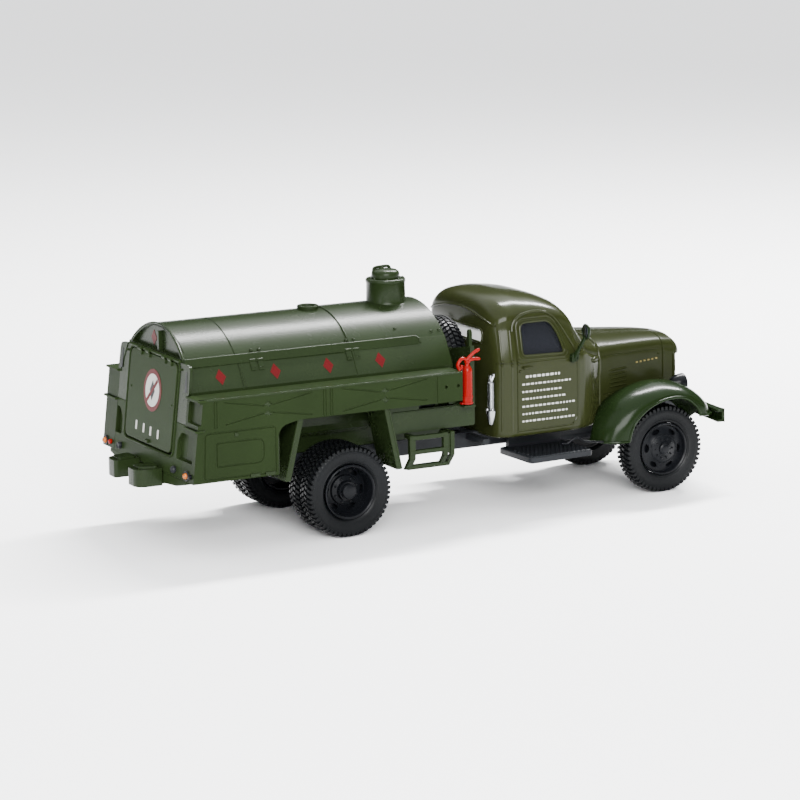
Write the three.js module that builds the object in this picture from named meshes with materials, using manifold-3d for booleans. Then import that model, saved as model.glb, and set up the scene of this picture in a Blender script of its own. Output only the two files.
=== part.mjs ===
// A 1:64 model of a bonneted refuelling tank truck, in millimetres.
// +X points to the front, +Y to the truck's left, +Z up. The origin is on the ground, under the middle of the box.
import * as THREE from 'three';
import { mergeVertices } from 'three/addons/utils/BufferGeometryUtils.js';
import Module from 'manifold-3d';

const wasm = await Module();
wasm.setup();

// Driving dimensions
const GAP = 0.1;
const WHEELBASE = 62.5;
const FRONT_AXLE_X = 42.25;
const REAR_AXLE_X = FRONT_AXLE_X - WHEELBASE;
const TYRE_R = 7.75;
const TYRE_WIDTH = 3.7;
const RIM_R = 4.6;
const FRONT_WHEEL_Y = 12.75;
const DUAL_OUTER_Y = 14.55;
const DUAL_INNER_Y = 10.45;
const AXLE_R = 1.0;
const RAIL_Y = 6.2;
const RAIL_BOTTOM = 10.5;
const RAIL_TOP = 13.0;
const FRAME_REAR = -47.5;
const FRAME_FRONT = 52.4;
const CAB_REAR = 9.55;
const COWL_X = 31.9;
const CAB_FLOOR = 12.8;
const CAB_WALL = 0.9;
const NOSE_X = 49.4;
const BUMPER_FACE_X = 54.25;
const HOOD_BOTTOM = 15.2;
const FENDER_OUT = 17.5;
const BODY_OUT = 18.6;
const TANK_OUT = 13.8;
const TANK_REAR = -47.4;
const TANK_FRONT = 0.7;
const RAIL_HALF = 10.9;
const RAIL_Z = 31.5;
const TANK_TOP = 36.15;
const TANK_ARCH_R = 14.8;
const LEDGE_Z = 26.4;
const LOCKER_FRONT = -0.1;
const SKIRT_Z = 21.5;
const CABINET_BOTTOM = 12.8;
const CABINET_FRONT = -34.3;
const TAIL_LOW_X = -49.6;
const BOX_FRONT = 3.7;
const SPARE = [5.3, 0, 24.9];
const CARRIER_OUT = 15.2;
const DOME_X = -4.65;

const CARRIER_REAR = SPARE[0] - TYRE_WIDTH / 2 - 0.2;
const CARRIER_FRONT = SPARE[0] + TYRE_WIDTH / 2 + 0.2;

const TAIL_SLOPE = (TANK_REAR - TAIL_LOW_X) / (RAIL_Z - CABINET_BOTTOM);
const tailX = (z) => TAIL_LOW_X + TAIL_SLOPE * (z - CABINET_BOTTOM);

const group = new THREE.Group();

// ---- materials ----
const finish = (color, roughness, metalness = 0) => new THREE.MeshStandardMaterial({ color, roughness, metalness });
const CAB_GREEN = () => finish('#4b5029', 0.25);
const BODY_GREEN = () => finish('#43533a', 0.4);
const FENDER_GREEN = () => finish('#2f4a2a', 0.25);
const BLACK = () => finish('#26282b', 0.5);
const RUBBER = () => finish('#2a2b2d', 0.75);
const STEEL = () => finish('#b9bcbf', 0.3, 0.9);
const RED = () => finish('#d8261c', 0.35);
const AMBER = () => finish('#d0862a', 0.25);
const CLEAR = () => finish('#3a4048', 0.1);
const TRIM = () => finish('#202124', 0.7);

// ---- turning three.js geometry into closed solids and back ----
function toSolid(geometry) {
  const bare = geometry.clone();
  bare.deleteAttribute('normal');
  bare.deleteAttribute('uv');
  const merged = mergeVertices(bare, 1e-4);
  const points = merged.attributes.position.array;
  const all = merged.index.array;
  const at = (i) => new THREE.Vector3(points[3 * i], points[3 * i + 1], points[3 * i + 2]);
  const kept = [];
  let volume = 0;
  for (let i = 0; i < all.length; i += 3) {
    const [a, b, c] = [all[i], all[i + 1], all[i + 2]];
    if (a !== b && b !== c && c !== a) {
      kept.push(a, b, c);
      volume += at(a).dot(at(b).cross(at(c)));
    }
  }
  if (volume < 0) {
    kept.reverse();
  }
  const triVerts = new Uint32Array(kept);
  return new wasm.Manifold(new wasm.Mesh({ numProp: 3, vertProperties: points, triVerts }));
}

function addPiece(name, solid, material) {
  const mesh = solid.getMesh();
  const geometry = new THREE.BufferGeometry();
  geometry.setAttribute('position', new THREE.BufferAttribute(new Float32Array(mesh.vertProperties), 3));
  geometry.setIndex(new THREE.BufferAttribute(new Uint32Array(mesh.triVerts), 1));
  geometry.computeVertexNormals();
  const piece = new THREE.Mesh(geometry, material);
  piece.name = name;
  group.add(piece);
}

// Adds NAME_right from a solid on the truck's right (-Y), and its mirror image as NAME_left.
function addPair(name, solid, material) {
  addPiece(`${name}_right`, solid, material());
  addPiece(`${name}_left`, solid.mirror([0, 1, 0]), material());
}

// ---- shape helpers ----
// Rounds an outline's corners; the radius is one number, or one number for each corner.
function rounded(corners, radius, steps = 3) {
  const points = [];
  corners.forEach(([x, y], i) => {
    const here = new THREE.Vector2(x, y);
    const before = new THREE.Vector2(...corners.at(i - 1)).sub(here);
    const after = new THREE.Vector2(...corners[(i + 1) % corners.length]).sub(here);
    const wanted = Array.isArray(radius) ? radius[i] : radius;
    const reach = Math.min(wanted, before.length() / 2.1, after.length() / 2.1);
    const start = here.clone().add(before.setLength(reach));
    const end = here.clone().add(after.setLength(reach));
    for (let k = 0; k <= steps; k += 1) {
      const t = k / steps;
      const u = 1 - t;
      points.push([
        u * u * start.x + 2 * u * t * here.x + t * t * end.x,
        u * u * start.y + 2 * u * t * here.y + t * t * end.y,
      ]);
    }
  });
  return points;
}

const rectangle = (x0, y0, x1, y1) => [[x0, y0], [x1, y0], [x1, y1], [x0, y1]];

const PERMUTE = {
  // Each outline's two directions are the two axes left, in the order y,z for x; x,z for y; and x,y for z.
  x: (g, from) => g.applyMatrix4(new THREE.Matrix4().set(0, 0, 1, from, 1, 0, 0, 0, 0, 1, 0, 0, 0, 0, 0, 1)),
  y: (g, from, to) => g.rotateX(Math.PI / 2).translate(0, to, 0),
  z: (g, from) => g.translate(0, 0, from),
};

function prism(outline, axis, from, to) {
  const shape = new THREE.Shape(outline.map(([u, v]) => new THREE.Vector2(u, v)));
  const geometry = new THREE.ExtrudeGeometry(shape, { depth: to - from, bevelEnabled: false });
  return toSolid(PERMUTE[axis](geometry, from, to));
}

const box = (x0, x1, y0, y1, z0, z1) => prism(rectangle(x0, y0, x1, y1), 'z', z0, z1);

// A turned solid: profile points are [radius, distance along the axis], and the axis points along +X, -Y or +Z.
function turned(profile, axis, centre, segments = 24) {
  const geometry = new THREE.LatheGeometry(profile.map(([r, h]) => new THREE.Vector2(r, h)), segments);
  if (axis === 'x') geometry.rotateZ(-Math.PI / 2);
  if (axis === 'right') geometry.rotateX(Math.PI);
  if (axis === 'z') geometry.rotateX(Math.PI / 2);
  return toSolid(geometry.translate(...centre));
}

const rod = (radius, length, axis, centre, segments = 16) =>
  turned([[0, 0], [radius, 0], [radius, length], [0, length]], axis, centre, segments);

// A bent bar of square or round section that follows a list of points.
function bar(points, radius, sides = 6, steps = 12) {
  const path = new THREE.CatmullRomCurve3(points.map((p) => new THREE.Vector3(...p)), false, 'centripetal');
  const ring = [];
  for (let k = 0; k < sides; k += 1) {
    const turn = (2 * Math.PI * k) / sides;
    ring.push(new THREE.Vector2(radius * Math.cos(turn), radius * Math.sin(turn)));
  }
  return toSolid(new THREE.ExtrudeGeometry(new THREE.Shape(ring), { steps, extrudePath: path }));
}

// Closed rings of equal length joined side by side, with a flat fan on each end.
function loft(rings) {
  const count = rings[0].length;
  const points = rings.flat(2);
  const faces = [];
  for (let i = 0; i + 1 < rings.length; i += 1) {
    for (let j = 0; j < count; j += 1) {
      const [a, b] = [i * count + j, i * count + ((j + 1) % count)];
      faces.push(a, b, b + count, a, b + count, a + count);
    }
  }
  const cap = (ring, start, flip) => {
    const middle = [0, 1, 2].map((k) => ring.reduce((sum, p) => sum + p[k], 0) / count);
    const centre = points.length / 3;
    points.push(...middle);
    for (let j = 0; j < count; j += 1) {
      const [a, b] = [start + j, start + ((j + 1) % count)];
      faces.push(centre, flip ? b : a, flip ? a : b);
    }
  };
  cap(rings[0], 0, true);
  cap(rings.at(-1), (rings.length - 1) * count, false);
  const geometry = new THREE.BufferGeometry();
  geometry.setAttribute('position', new THREE.Float32BufferAttribute(points, 3));
  geometry.setIndex(faces);
  return toSolid(geometry);
}

// A thin curved sheet between an outer and an inner grid of points, closed along its four edges.
function sheet(outer, inner) {
  const [rows, columns] = [outer.length, outer[0].length];
  const points = [...outer.flat(2), ...inner.flat(2)];
  const at = (side, i, j) => side * rows * columns + i * columns + j;
  const faces = [];
  const quad = (a, b, c, d) => faces.push(a, b, c, a, c, d);
  for (let i = 0; i + 1 < rows; i += 1) {
    for (let j = 0; j + 1 < columns; j += 1) {
      quad(at(0, i, j), at(0, i, j + 1), at(0, i + 1, j + 1), at(0, i + 1, j));
      quad(at(1, i, j), at(1, i + 1, j), at(1, i + 1, j + 1), at(1, i, j + 1));
    }
    quad(at(0, i, 0), at(0, i + 1, 0), at(1, i + 1, 0), at(1, i, 0));
    quad(at(0, i, columns - 1), at(1, i, columns - 1), at(1, i + 1, columns - 1), at(0, i + 1, columns - 1));
  }
  for (let j = 0; j + 1 < columns; j += 1) {
    quad(at(0, 0, j), at(1, 0, j), at(1, 0, j + 1), at(0, 0, j + 1));
    quad(at(0, rows - 1, j), at(0, rows - 1, j + 1), at(1, rows - 1, j + 1), at(1, rows - 1, j));
  }
  const geometry = new THREE.BufferGeometry();
  geometry.setAttribute('position', new THREE.Float32BufferAttribute(points, 3));
  geometry.setIndex(faces);
  return toSolid(geometry);
}

// Straight-line value of a table of [x, value] rows at x.
function lookUp(table, x) {
  const i = Math.max(1, table.findIndex((row) => row[0] >= x));
  const [low, high] = [table[i - 1], table[i]];
  const t = THREE.MathUtils.clamp((x - low[0]) / (high[0] - low[0]), 0, 1);
  return low[1] + t * (high[1] - low[1]);
}

// ---- wheels ----
const TYRE_PROFILE = [
  [RIM_R + 0.1, -0.42], [RIM_R + 1.4, -0.5], [TYRE_R - 0.55, -0.47], [TYRE_R, -0.36],
  [TYRE_R, 0.36], [TYRE_R - 0.55, 0.47], [RIM_R + 1.4, 0.5], [RIM_R + 0.1, 0.42],
].map(([r, share]) => [r, share * TYRE_WIDTH]);

function tyre(axis, centre) {
  return turned([...TYRE_PROFILE, TYRE_PROFILE[0]], axis, centre, 24);
}

function handHoles(solid, centre, radius, size, out) {
  let left = solid;
  for (let k = 0; k < 6; k += 1) {
    const turn = (Math.PI * k) / 3 - 0.09;
    const x = centre[0] + radius * Math.cos(turn);
    const z = centre[2] + radius * Math.sin(turn);
    left = left.subtract(rod(size, 2 * out, 'right', [x, centre[1] + out, z], 6));
  }
  return left;
}

const HUB_BORE = AXLE_R + 0.05;

// The front rim: a domed disc with a stub that takes the axle's end. Distances run outwards from the tyre's middle.
function frontRim() {
  const centre = [FRONT_AXLE_X, -FRONT_WHEEL_Y, TYRE_R];
  const profile = [
    [0, 2.1], [1.1, 2.1], [1.3, 1.7], [2.3, 1.55], [3.6, 0.95], [4.1, 0.9], [4.25, 1.5], [RIM_R, 1.5],
    [RIM_R, -1.5], [4.2, -1.5], [4.1, 0.2], [2.2, 0.85], [1.9, -0.6], [HUB_BORE, -0.6], [HUB_BORE, 1.0], [0, 1.0],
  ];
  return handHoles(turned(profile, 'right', centre, 18), centre, 3.15, 0.6, 1.8);
}

// The rear rim carries two tyres on one barrel: distances run outwards from the outer tyre's middle.
function rearRim() {
  const centre = [REAR_AXLE_X, -DUAL_OUTER_Y, TYRE_R];
  const inner = DUAL_INNER_Y - DUAL_OUTER_Y - 1.5;
  const profile = [
    [0, 1.5], [1.2, 1.5], [1.35, 0.1], [2.4, -0.2], [2.6, -0.6], [4.0, -0.9], [4.15, 1.8], [RIM_R, 1.8],
    [RIM_R, inner], [4.2, inner], [4.05, -1.6], [2.3, -1.4], [2.1, -3.4], [HUB_BORE, -3.4], [HUB_BORE, 0], [0, 0],
  ];
  return handHoles(turned(profile, 'right', centre, 18), centre, 3.3, 0.55, 2.2);
}

const FRONT_CENTRE = [FRONT_AXLE_X, -FRONT_WHEEL_Y, TYRE_R];
addPair('front_rim', frontRim(), BLACK);
addPair('front_tyre', tyre('right', FRONT_CENTRE), RUBBER);
addPair('rear_rim', rearRim(), BLACK);
addPair('rear_tyre_outer', tyre('right', [REAR_AXLE_X, -DUAL_OUTER_Y, TYRE_R]), RUBBER);
addPair('rear_tyre_inner', tyre('right', [REAR_AXLE_X, -DUAL_INNER_Y, TYRE_R]), RUBBER);

const frontReach = FRONT_WHEEL_Y + 0.9;
const rearReach = DUAL_OUTER_Y - 0.1;
addPiece('front_axle', rod(AXLE_R, 2 * frontReach, 'right', [FRONT_AXLE_X, frontReach, TYRE_R]), STEEL());
addPiece('rear_axle', rod(AXLE_R, 2 * rearReach, 'right', [REAR_AXLE_X, rearReach, TYRE_R]), STEEL());

// ---- chassis moulding ----
function leafSpring(x) {
  const half = 9.5;
  const arc = [];
  for (let k = 0; k <= 8; k += 1) {
    const t = (2 * k) / 8 - 1;
    arc.push([x + half * t, RAIL_BOTTOM + 0.4 - 0.7 * (1 - t * t)]);
  }
  const low = arc.map(([u, v], k) => [u, v - 0.5 - 0.6 * (1 - Math.abs(k - 4) / 4)]).reverse();
  return prism([...arc, ...low], 'y', -RAIL_Y, -RAIL_Y + 1.3);
}

const axleBearing = (x) =>
  prism(rounded(rectangle(x - 1.9, 6.2, x + 1.9, RAIL_BOTTOM + 0.3), 0.8, 2), 'y', -RAIL_Y, RAIL_Y);

function chassis() {
  let frame = box(FRAME_REAR, FRAME_FRONT, -RAIL_Y, -RAIL_Y + 1.3, RAIL_BOTTOM, RAIL_TOP);
  frame = frame.add(frame.mirror([0, 1, 0]));
  for (const x of [FRAME_REAR + 1, -38, -27, -8, 6, 22, 33, FRAME_FRONT - 1]) {
    frame = frame.add(box(x - 1, x + 1, -RAIL_Y, RAIL_Y, RAIL_BOTTOM + 0.2, RAIL_TOP - 0.2));
  }
  frame = frame.add(box(FRAME_REAR, FRAME_FRONT, -RAIL_Y + 1, RAIL_Y - 1, 12.1, 12.7));
  for (const x of [FRONT_AXLE_X, REAR_AXLE_X]) {
    const spring = leafSpring(x);
    frame = frame.add(spring).add(spring.mirror([0, 1, 0])).add(axleBearing(x));
  }
  const propShaft = rod(0.8, 48, 'x', [REAR_AXLE_X + 1, 0, 9.6], 8);
  const gearbox = prism(rounded(rectangle(-3, 8.4, 3, 12.4), 1, 2), 'x', 24, 36);
  const casing = [[0, -3], [1.4, -2.4], [2.3, 0], [1.4, 2.4], [0, 3]];
  const differential = turned(casing, 'x', [REAR_AXLE_X - 4.6, 0, 9.4], 12);
  frame = frame.add(propShaft).add(gearbox).add(differential.add(box(-26, -22, -1, 1, 9, 12.4)));
  for (const x of [-9.6, 7.8]) {
    frame = frame.add(box(x - 0.6, x + 0.6, -12.4, 12.4, RAIL_TOP - 1.1, RAIL_TOP - 0.1));
  }
  for (const x of [FRONT_AXLE_X, REAR_AXLE_X]) {
    frame = frame.subtract(rod(AXLE_R + 0.08, 20, 'right', [x, 10, TYRE_R], 16));
  }
  return frame;
}

addPiece('chassis_frame', chassis(), BLACK());

// The two screws stand in blind holes under the frame.
for (const [name, x] of [['base_screw_front', 17], ['base_screw_rear', -32]]) {
  const head = [[0, 0], [1.2, 0], [1.4, 0.3], [1.4, 0.8], [0, 0.8]];
  addPiece(name, turned(head, 'z', [x, 0, 12.1 - 0.8 - GAP], 16), STEEL());
}

// ---- cab ----
// Stations along the cab: [x, half width, shoulder height, shoulder half width, roof height].
const CAB_STATIONS = [
  [CAB_REAR, 11.2, 30.6, 9.6, 33.9],
  [9.95, 12.4, 31.1, 11.0, 35.0],
  [10.8, 13.1, 31.6, 11.8, 35.9],
  [12.2, 13.5, 32.0, 12.2, 36.5],
  [15.0, 13.5, 32.1, 12.3, 36.8],
  [19.0, 13.5, 32.0, 12.2, 36.4],
  [22.5, 13.5, 31.4, 12.0, 35.4],
  [24.6, 13.4, 30.4, 11.8, 34.0],
  [25.8, 13.3, 28.9, 11.6, 32.2],
  [27.0, 13.0, 27.3, 11.4, 30.0],
  [28.2, 12.5, 25.9, 11.2, 28.4],
  [COWL_X, 10.2, 24.6, 10.1, 27.5],
];
const HOOD_STATIONS = [
  [32.0, 10.1, 24.5, 10.0, 27.4],
  [34.5, 9.6, 24.6, 9.5, 27.3],
  [38.5, 8.6, 24.4, 8.5, 27.05],
  [43.0, 7.5, 24.2, 7.4, 26.75],
  [46.75, 6.6, 24.1, 6.5, 26.4],
  [NOSE_X, 6.15, 23.6, 6.0, 26.0],
];

// One cross-section: upright sides, a lean from the belt to the shoulder, and a crowned top.
function bodySection([x, half, shoulder, shoulderHalf, top], inset, bottom) {
  const belt = Math.min(25.8, shoulder - 0.6);
  const right = [
    [half - 0.6 - inset, bottom],
    [half - inset, bottom + 0.7],
    [half - inset, belt],
    [shoulderHalf - inset, shoulder],
  ];
  for (let k = 1; k <= 6; k += 1) {
    const turn = (Math.PI / 2) * (k / 6);
    const reach = Math.cos(turn) ** 0.7;
    const rise = Math.sin(turn) ** 0.75;
    right.push([(shoulderHalf - inset) * Math.max(reach, 0), shoulder + (top - inset - shoulder) * rise]);
  }
  right.at(-1)[0] = 0;
  const mirrored = right.slice(0, -1).reverse().map(([y, z]) => [-y, z]);
  return [...right, ...mirrored].map(([y, z]) => [x, y, z]);
}

const bodyLoft = (stations, inset, bottom) => loft(stations.map((s) => bodySection(s, inset, bottom)));

// The same stations moved in by a wall's thickness at both ends.
function insetStations(stations, inset) {
  const moved = stations.map((s) => [...s]);
  const middle = (stations[0][0] + stations.at(-1)[0]) / 2;
  const half = (stations.at(-1)[0] - stations[0][0]) / 2;
  for (const s of moved) {
    s[0] = middle + ((s[0] - middle) * (half - inset)) / half;
  }
  return moved;
}

const SIDE_WINDOW = rounded([[14.1, 26.8], [22.9, 26.9], [22.3, 29.2], [20.3, 31.8], [14.5, 31.8]], 0.9);
const REAR_WINDOW = rounded(rectangle(-8.2, 28.7, 8.2, 31.1), 1.1);
const WINDSCREEN_HALF = rounded([[0.35, 29.1], [9.4, 28.9], [9.0, 31.4], [0.35, 32.6]], 0.7);

function cabShell() {
  const outer = bodyLoft(CAB_STATIONS, 0, CAB_FLOOR);
  const inner = bodyLoft(insetStations(CAB_STATIONS, CAB_WALL), CAB_WALL, CAB_FLOOR - 1);
  const pane = prism(WINDSCREEN_HALF, 'x', 23.4, 33);
  return outer
    .subtract(inner)
    .subtract(prism(SIDE_WINDOW, 'y', -20, 20))
    .subtract(prism(REAR_WINDOW, 'x', 5, 12))
    .subtract(pane)
    .subtract(pane.mirror([0, 1, 0]))
    .subtract(box(0, 40, -RAIL_Y - GAP, RAIL_Y + GAP, CAB_FLOOR - 1, RAIL_TOP + GAP));
}

function cabGlazing() {
  const skin = CAB_WALL + GAP;
  const outer = bodyLoft(insetStations(CAB_STATIONS, skin), skin, CAB_FLOOR);
  const inner = bodyLoft(insetStations(CAB_STATIONS, skin + 0.5), skin + 0.5, CAB_FLOOR - 1);
  return outer.subtract(inner).intersect(box(0, 40, -20, 20, 26.1, 33.3));
}

addPiece('cab_shell', cabShell(), CAB_GREEN());
addPiece('cab_glazing', cabGlazing(), CLEAR());

const SEAT_OUTLINE = [[11.6, 13.6], [20.4, 13.6], [20.4, 19.4], [19.6, 20.2], [15.0, 19.8], [13.4, 25.8], [12.0, 25.8]];
addPiece('seat', prism(SEAT_OUTLINE, 'y', -11.2, 11.2), TRIM());

const DASH_OUTLINE = [[25.9, 22.4], [28.6, 22.4], [28.6, 25.2], [27.2, 25.4], [25.9, 24.6]];
addPiece('dashboard', prism(DASH_OUTLINE, 'y', -9.6, 9.6), TRIM());

function steeringWheel() {
  const centre = new THREE.Vector3(23.0, 5.8, 24.4);
  const tilt = new THREE.Matrix4().makeRotationY(-0.6).setPosition(centre);
  const rim = toSolid(new THREE.TorusGeometry(2.5, 0.28, 5, 14).applyMatrix4(tilt));
  const spoke = toSolid(new THREE.BoxGeometry(5, 0.5, 0.3).applyMatrix4(tilt));
  const across = toSolid(new THREE.BoxGeometry(0.5, 5, 0.3).applyMatrix4(tilt));
  const column = new THREE.CylinderGeometry(0.35, 0.35, 9, 8).rotateX(Math.PI / 2).translate(0, 0, -4.4);
  return rim.add(spoke).add(across).add(toSolid(column.applyMatrix4(tilt)));
}

addPiece('steering_wheel', steeringWheel(), TRIM());

// ---- bonnet, grille, fenders, lamps ----
function hood() {
  const shell = bodyLoft(HOOD_STATIONS, 0, HOOD_BOTTOM);
  const inside = HOOD_STATIONS.map((s) => [...s]);
  inside[0][0] -= 1;
  inside.at(-1)[0] += 1;
  const brow = loft([
    [NOSE_X - 0.6, 6.0, 25.9], [50.4, 5.7, 25.6], [51.3, 4.6, 24.8], [51.9, 3.0, 23.9],
  ].map(([x, half, top]) => {
    const arc = [];
    for (let k = 0; k <= 10; k += 1) {
      const turn = (Math.PI * k) / 10;
      arc.push([x, half * Math.cos(turn), 22.7 + (top - 22.7) * Math.sin(turn) ** 0.8]);
    }
    return arc;
  }));
  return shell.add(brow).subtract(bodyLoft(inside, CAB_WALL, HOOD_BOTTOM - 1));
}

addPiece('hood', hood(), CAB_GREEN());

function grille() {
  const bottom = 13.9;
  const slats = 6;
  const pitch = (22.5 - bottom) / slats;
  let solid = box(NOSE_X - 1.4, NOSE_X - 0.6, -4.9, 4.9, bottom + 1.4, 22.4);
  solid = solid.add(box(NOSE_X - 0.6, NOSE_X + 1.5, -0.4, 0.4, bottom + 0.2, 22.3));
  for (let k = 0; k < slats; k += 1) {
    const narrow = 1 - 0.045 * (slats - 1 - k);
    const plan = [
      [NOSE_X - 0.9, -4.9], [NOSE_X + GAP, -4.9], [NOSE_X + GAP, -5.7], [50.7, -4.7], [51.3, -2.4], [51.5, 0],
      [51.3, 2.4], [50.7, 4.7], [NOSE_X + GAP, 5.7], [NOSE_X + GAP, 4.9], [NOSE_X - 0.9, 4.9],
    ].map(([x, y]) => [x, y * narrow]);
    solid = solid.add(prism(plan, 'z', bottom + pitch * k + 0.25, bottom + pitch * k + 1.05));
  }
  return solid;
}

addPiece('grille', grille(), BLACK());

// Crown and lip of the front fender as [x, z] rows that run from the running board to the nose.
const CROWN = [
  [28.2, 10.5], [29.3, 13.4], [31.5, 16.4], [34.8, 18.3], [38.3, 19.35], [41.6, 19.75], [45.2, 19.2],
  [48.3, 17.75], [50.8, 15.6], [52.1, 13.2],
];
const LIP = [
  [33.25, 10.5], [34.2, 13.3], [36.5, 15.6], [39.5, 17.0], [42.75, 17.4], [45.0, 17.0], [46.6, 15.9],
  [47.5, 14.8], [47.9, 13.6],
];
const CAB_HALF = CAB_STATIONS.map((s) => [s[0], s[1]]);
const HOOD_HALF = HOOD_STATIONS.map((s) => [s[0], s[1]]);

function fenderGrid(depth) {
  const crown = new THREE.SplineCurve(CROWN.map((p) => new THREE.Vector2(...p)));
  const lip = new THREE.SplineCurve(LIP.map((p) => new THREE.Vector2(...p)));
  const rows = [];
  const steps = 15;
  for (let i = 0; i <= steps; i += 1) {
    const top = crown.getPoint(i / steps);
    const low = lip.getPoint(i / steps);
    const hub = new THREE.Vector2(FRONT_AXLE_X, TYRE_R);
    const inwards = hub.sub(top).setLength(depth);
    top.add(inwards);
    const wall = top.x < COWL_X ? lookUp(CAB_HALF, top.x) : lookUp(HOOD_HALF, top.x);
    const inner = wall + 0.2;
    const flat = Math.max(inner + 0.4, 12);
    const valley = 1.2 * THREE.MathUtils.smoothstep(top.x, 40, 48);
    const row = [[top.x, -inner, top.y - valley - 0.26 * (flat - inner)]];
    for (let k = 0; k <= 5; k += 1) {
      const turn = (Math.PI / 2) * (k / 5);
      const spread = Math.sin(turn);
      const drop = 1 - Math.cos(turn);
      row.push([
        top.x + (low.x - top.x) * drop,
        -(flat + (FENDER_OUT - depth - flat) * spread),
        top.y + (low.y - top.y) * drop,
      ]);
    }
    rows.push(row);
  }
  return rows;
}

// The headlight's housing sinks a little into the fender's valley, in a hollow that clears it.
const LAMP = [48.1, -9.7, 18.1];
const HOUSING = [[0, -1.7], [0.8, -1.5], [1.4, -0.6], [1.6, 0.6], [1.6, 1.0], [1.35, 1.0], [1.35, 0.4], [0, 0.4]];
const lampBay = turned([[0, -1.8], [1.1, -1.6], [1.7, -0.5], [1.7, 6], [0, 6]], 'x', LAMP, 16);
addPair('front_fender', sheet(fenderGrid(0), fenderGrid(0.6)).subtract(lampBay), FENDER_GREEN);

const LENS = [[0, 0.5], [1.25, 0.5], [1.25, 0.9], [0.7, 1.25], [0, 1.35]];
addPair('headlight', turned(HOUSING, 'x', LAMP, 16), BLACK);
addPair('headlight_lens', turned(LENS, 'x', LAMP, 16), CLEAR);

// A bowed channel that opens to the rear: each band is the bow's front curve carried back by a depth.
function frontBumper() {
  const band = (depth, low, high) => {
    const front = [];
    for (let k = -8; k <= 8; k += 1) {
      front.push([BUMPER_FACE_X - 1.15 * (k / 8) ** 2, (17 * k) / 8]);
    }
    const back = front.map(([x, y]) => [x - depth, y]).reverse();
    return prism([...front, ...back], 'z', low, high);
  };
  return band(0.55, 11.9, 14.1).add(band(1.45, 11.9, 12.4)).add(band(1.45, 13.6, 14.1));
}

addPiece('front_bumper', frontBumper(), FENDER_GREEN());

function mirror() {
  const stalk = bar([[24.05, -14.0, 25.6], [24.3, -14.9, 27.0], [25.2, -15.95, 29.8]], 0.3, 6, 6);
  const head = turned([[0, -0.45], [1.1, -0.4], [1.25, 0], [0.9, 0.4], [0, 0.5]], 'x', [0, 0, 0], 16);
  const oval = head.scale([1, 0.75, 1.05]).translate([25.2, -16, 30.3]);
  const foot = box(23.4, 24.8, -14.4, -13.5 - GAP, 24.8, 26.2);
  return stalk.add(oval).add(foot);
}

addPair('mirror', mirror(), BLACK);

function fuelNozzle() {
  const [x, y] = [8.95, -12.1];
  const profile = [[0, 0], [0.3, 0], [0.7, 2.0], [0.8, 2.4], [0.8, 2.9], [0.5, 3.1], [0.5, 7.6], [0, 7.6]];
  const spout = turned(profile, 'z', [x, y, 15.2], 12);
  const hook = bar([[x, y, 22.4], [x, y, 23.2], [x, y + 0.6, 23.5], [x, y + 1.1, 23.1]], 0.35, 6, 6);
  return spout.add(hook);
}

addPiece('fuel_nozzle', fuelNozzle(), STEEL());

// ---- running boards ----
function runningBoard() {
  const plan = [[13.7, -17.4], [26.4, -16.7], [26.4, -RAIL_Y - GAP], [13.3, -RAIL_Y - GAP]];
  const tread = prism(rounded(plan, 0.8, 2), 'z', 8.8, 10.0);
  const riser = box(15.0, 25.4, -7.4, -RAIL_Y - GAP, 9.6, 12.4);
  return tread.add(riser);
}

addPair('running_board', runningBoard(), BLACK);

// ---- tank body ----
function tankOutline(inset) {
  const points = [];
  for (let k = -12; k <= 12; k += 1) {
    const share = k / 12;
    const y = (RAIL_HALF - inset * 0.8) * Math.sin((share * Math.PI) / 2);
    points.push([y, TANK_TOP - inset - TANK_ARCH_R + Math.sqrt(TANK_ARCH_R ** 2 - y ** 2)]);
  }
  return [
    ...points,
    [RAIL_HALF + 0.25 - inset, RAIL_Z - 0.3],
    [TANK_OUT - inset, LEDGE_Z + 0.4],
    [TANK_OUT - inset, SKIRT_Z + GAP - inset],
    [-TANK_OUT + inset, SKIRT_Z + GAP - inset],
    [-TANK_OUT + inset, LEDGE_Z + 0.4],
    [-RAIL_HALF - 0.25 + inset, RAIL_Z - 0.3],
  ];
}

// Everything behind the slanted tail plane moved forward by a depth.
const behindTail = (depth) =>
  prism([[tailX(8) + depth, 8], [tailX(40) + depth, 40], [-70, 40], [-70, 8]], 'y', -30, 30);
const DOOR_DEPTH = 1.2;
const doorSeat = prism(rectangle(-9.7, 15.9, 9.7, 31.2), 'x', -60, -40).intersect(behindTail(DOOR_DEPTH));

function tankShell() {
  const outer = prism(tankOutline(0), 'x', -52, TANK_FRONT);
  const hollow = prism(tankOutline(1.2), 'x', TANK_REAR + 2.4, TANK_FRONT - 1.2);
  const open = box(TANK_REAR + 3, TANK_FRONT - 3, -TANK_OUT + 2, TANK_OUT - 2, SKIRT_Z - 2, SKIRT_Z + 2);
  const recess = prism(
    [[-9.2, 32.1], [9.2, 32.1], [6.4, 34.4], [0, 35.4], [-6.4, 34.4]], 'x', -52, TANK_REAR + 0.9,
  );
  return outer.subtract(behindTail(0)).subtract(hollow).subtract(open).subtract(doorSeat).subtract(recess);
}

addPiece('tank_shell', tankShell(), BODY_GREEN());

// The rear door leans with the tail and stands in a shallow seat.
function rearDoor() {
  const slab = prism(rounded([[-9.2, 16.3], [9.2, 16.3], [9.3, 31.0], [-9.3, 31.0]], 1.2), 'x', -60, -40);
  return slab.intersect(behindTail(DOOR_DEPTH - GAP)).subtract(behindTail(-0.15));
}

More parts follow.
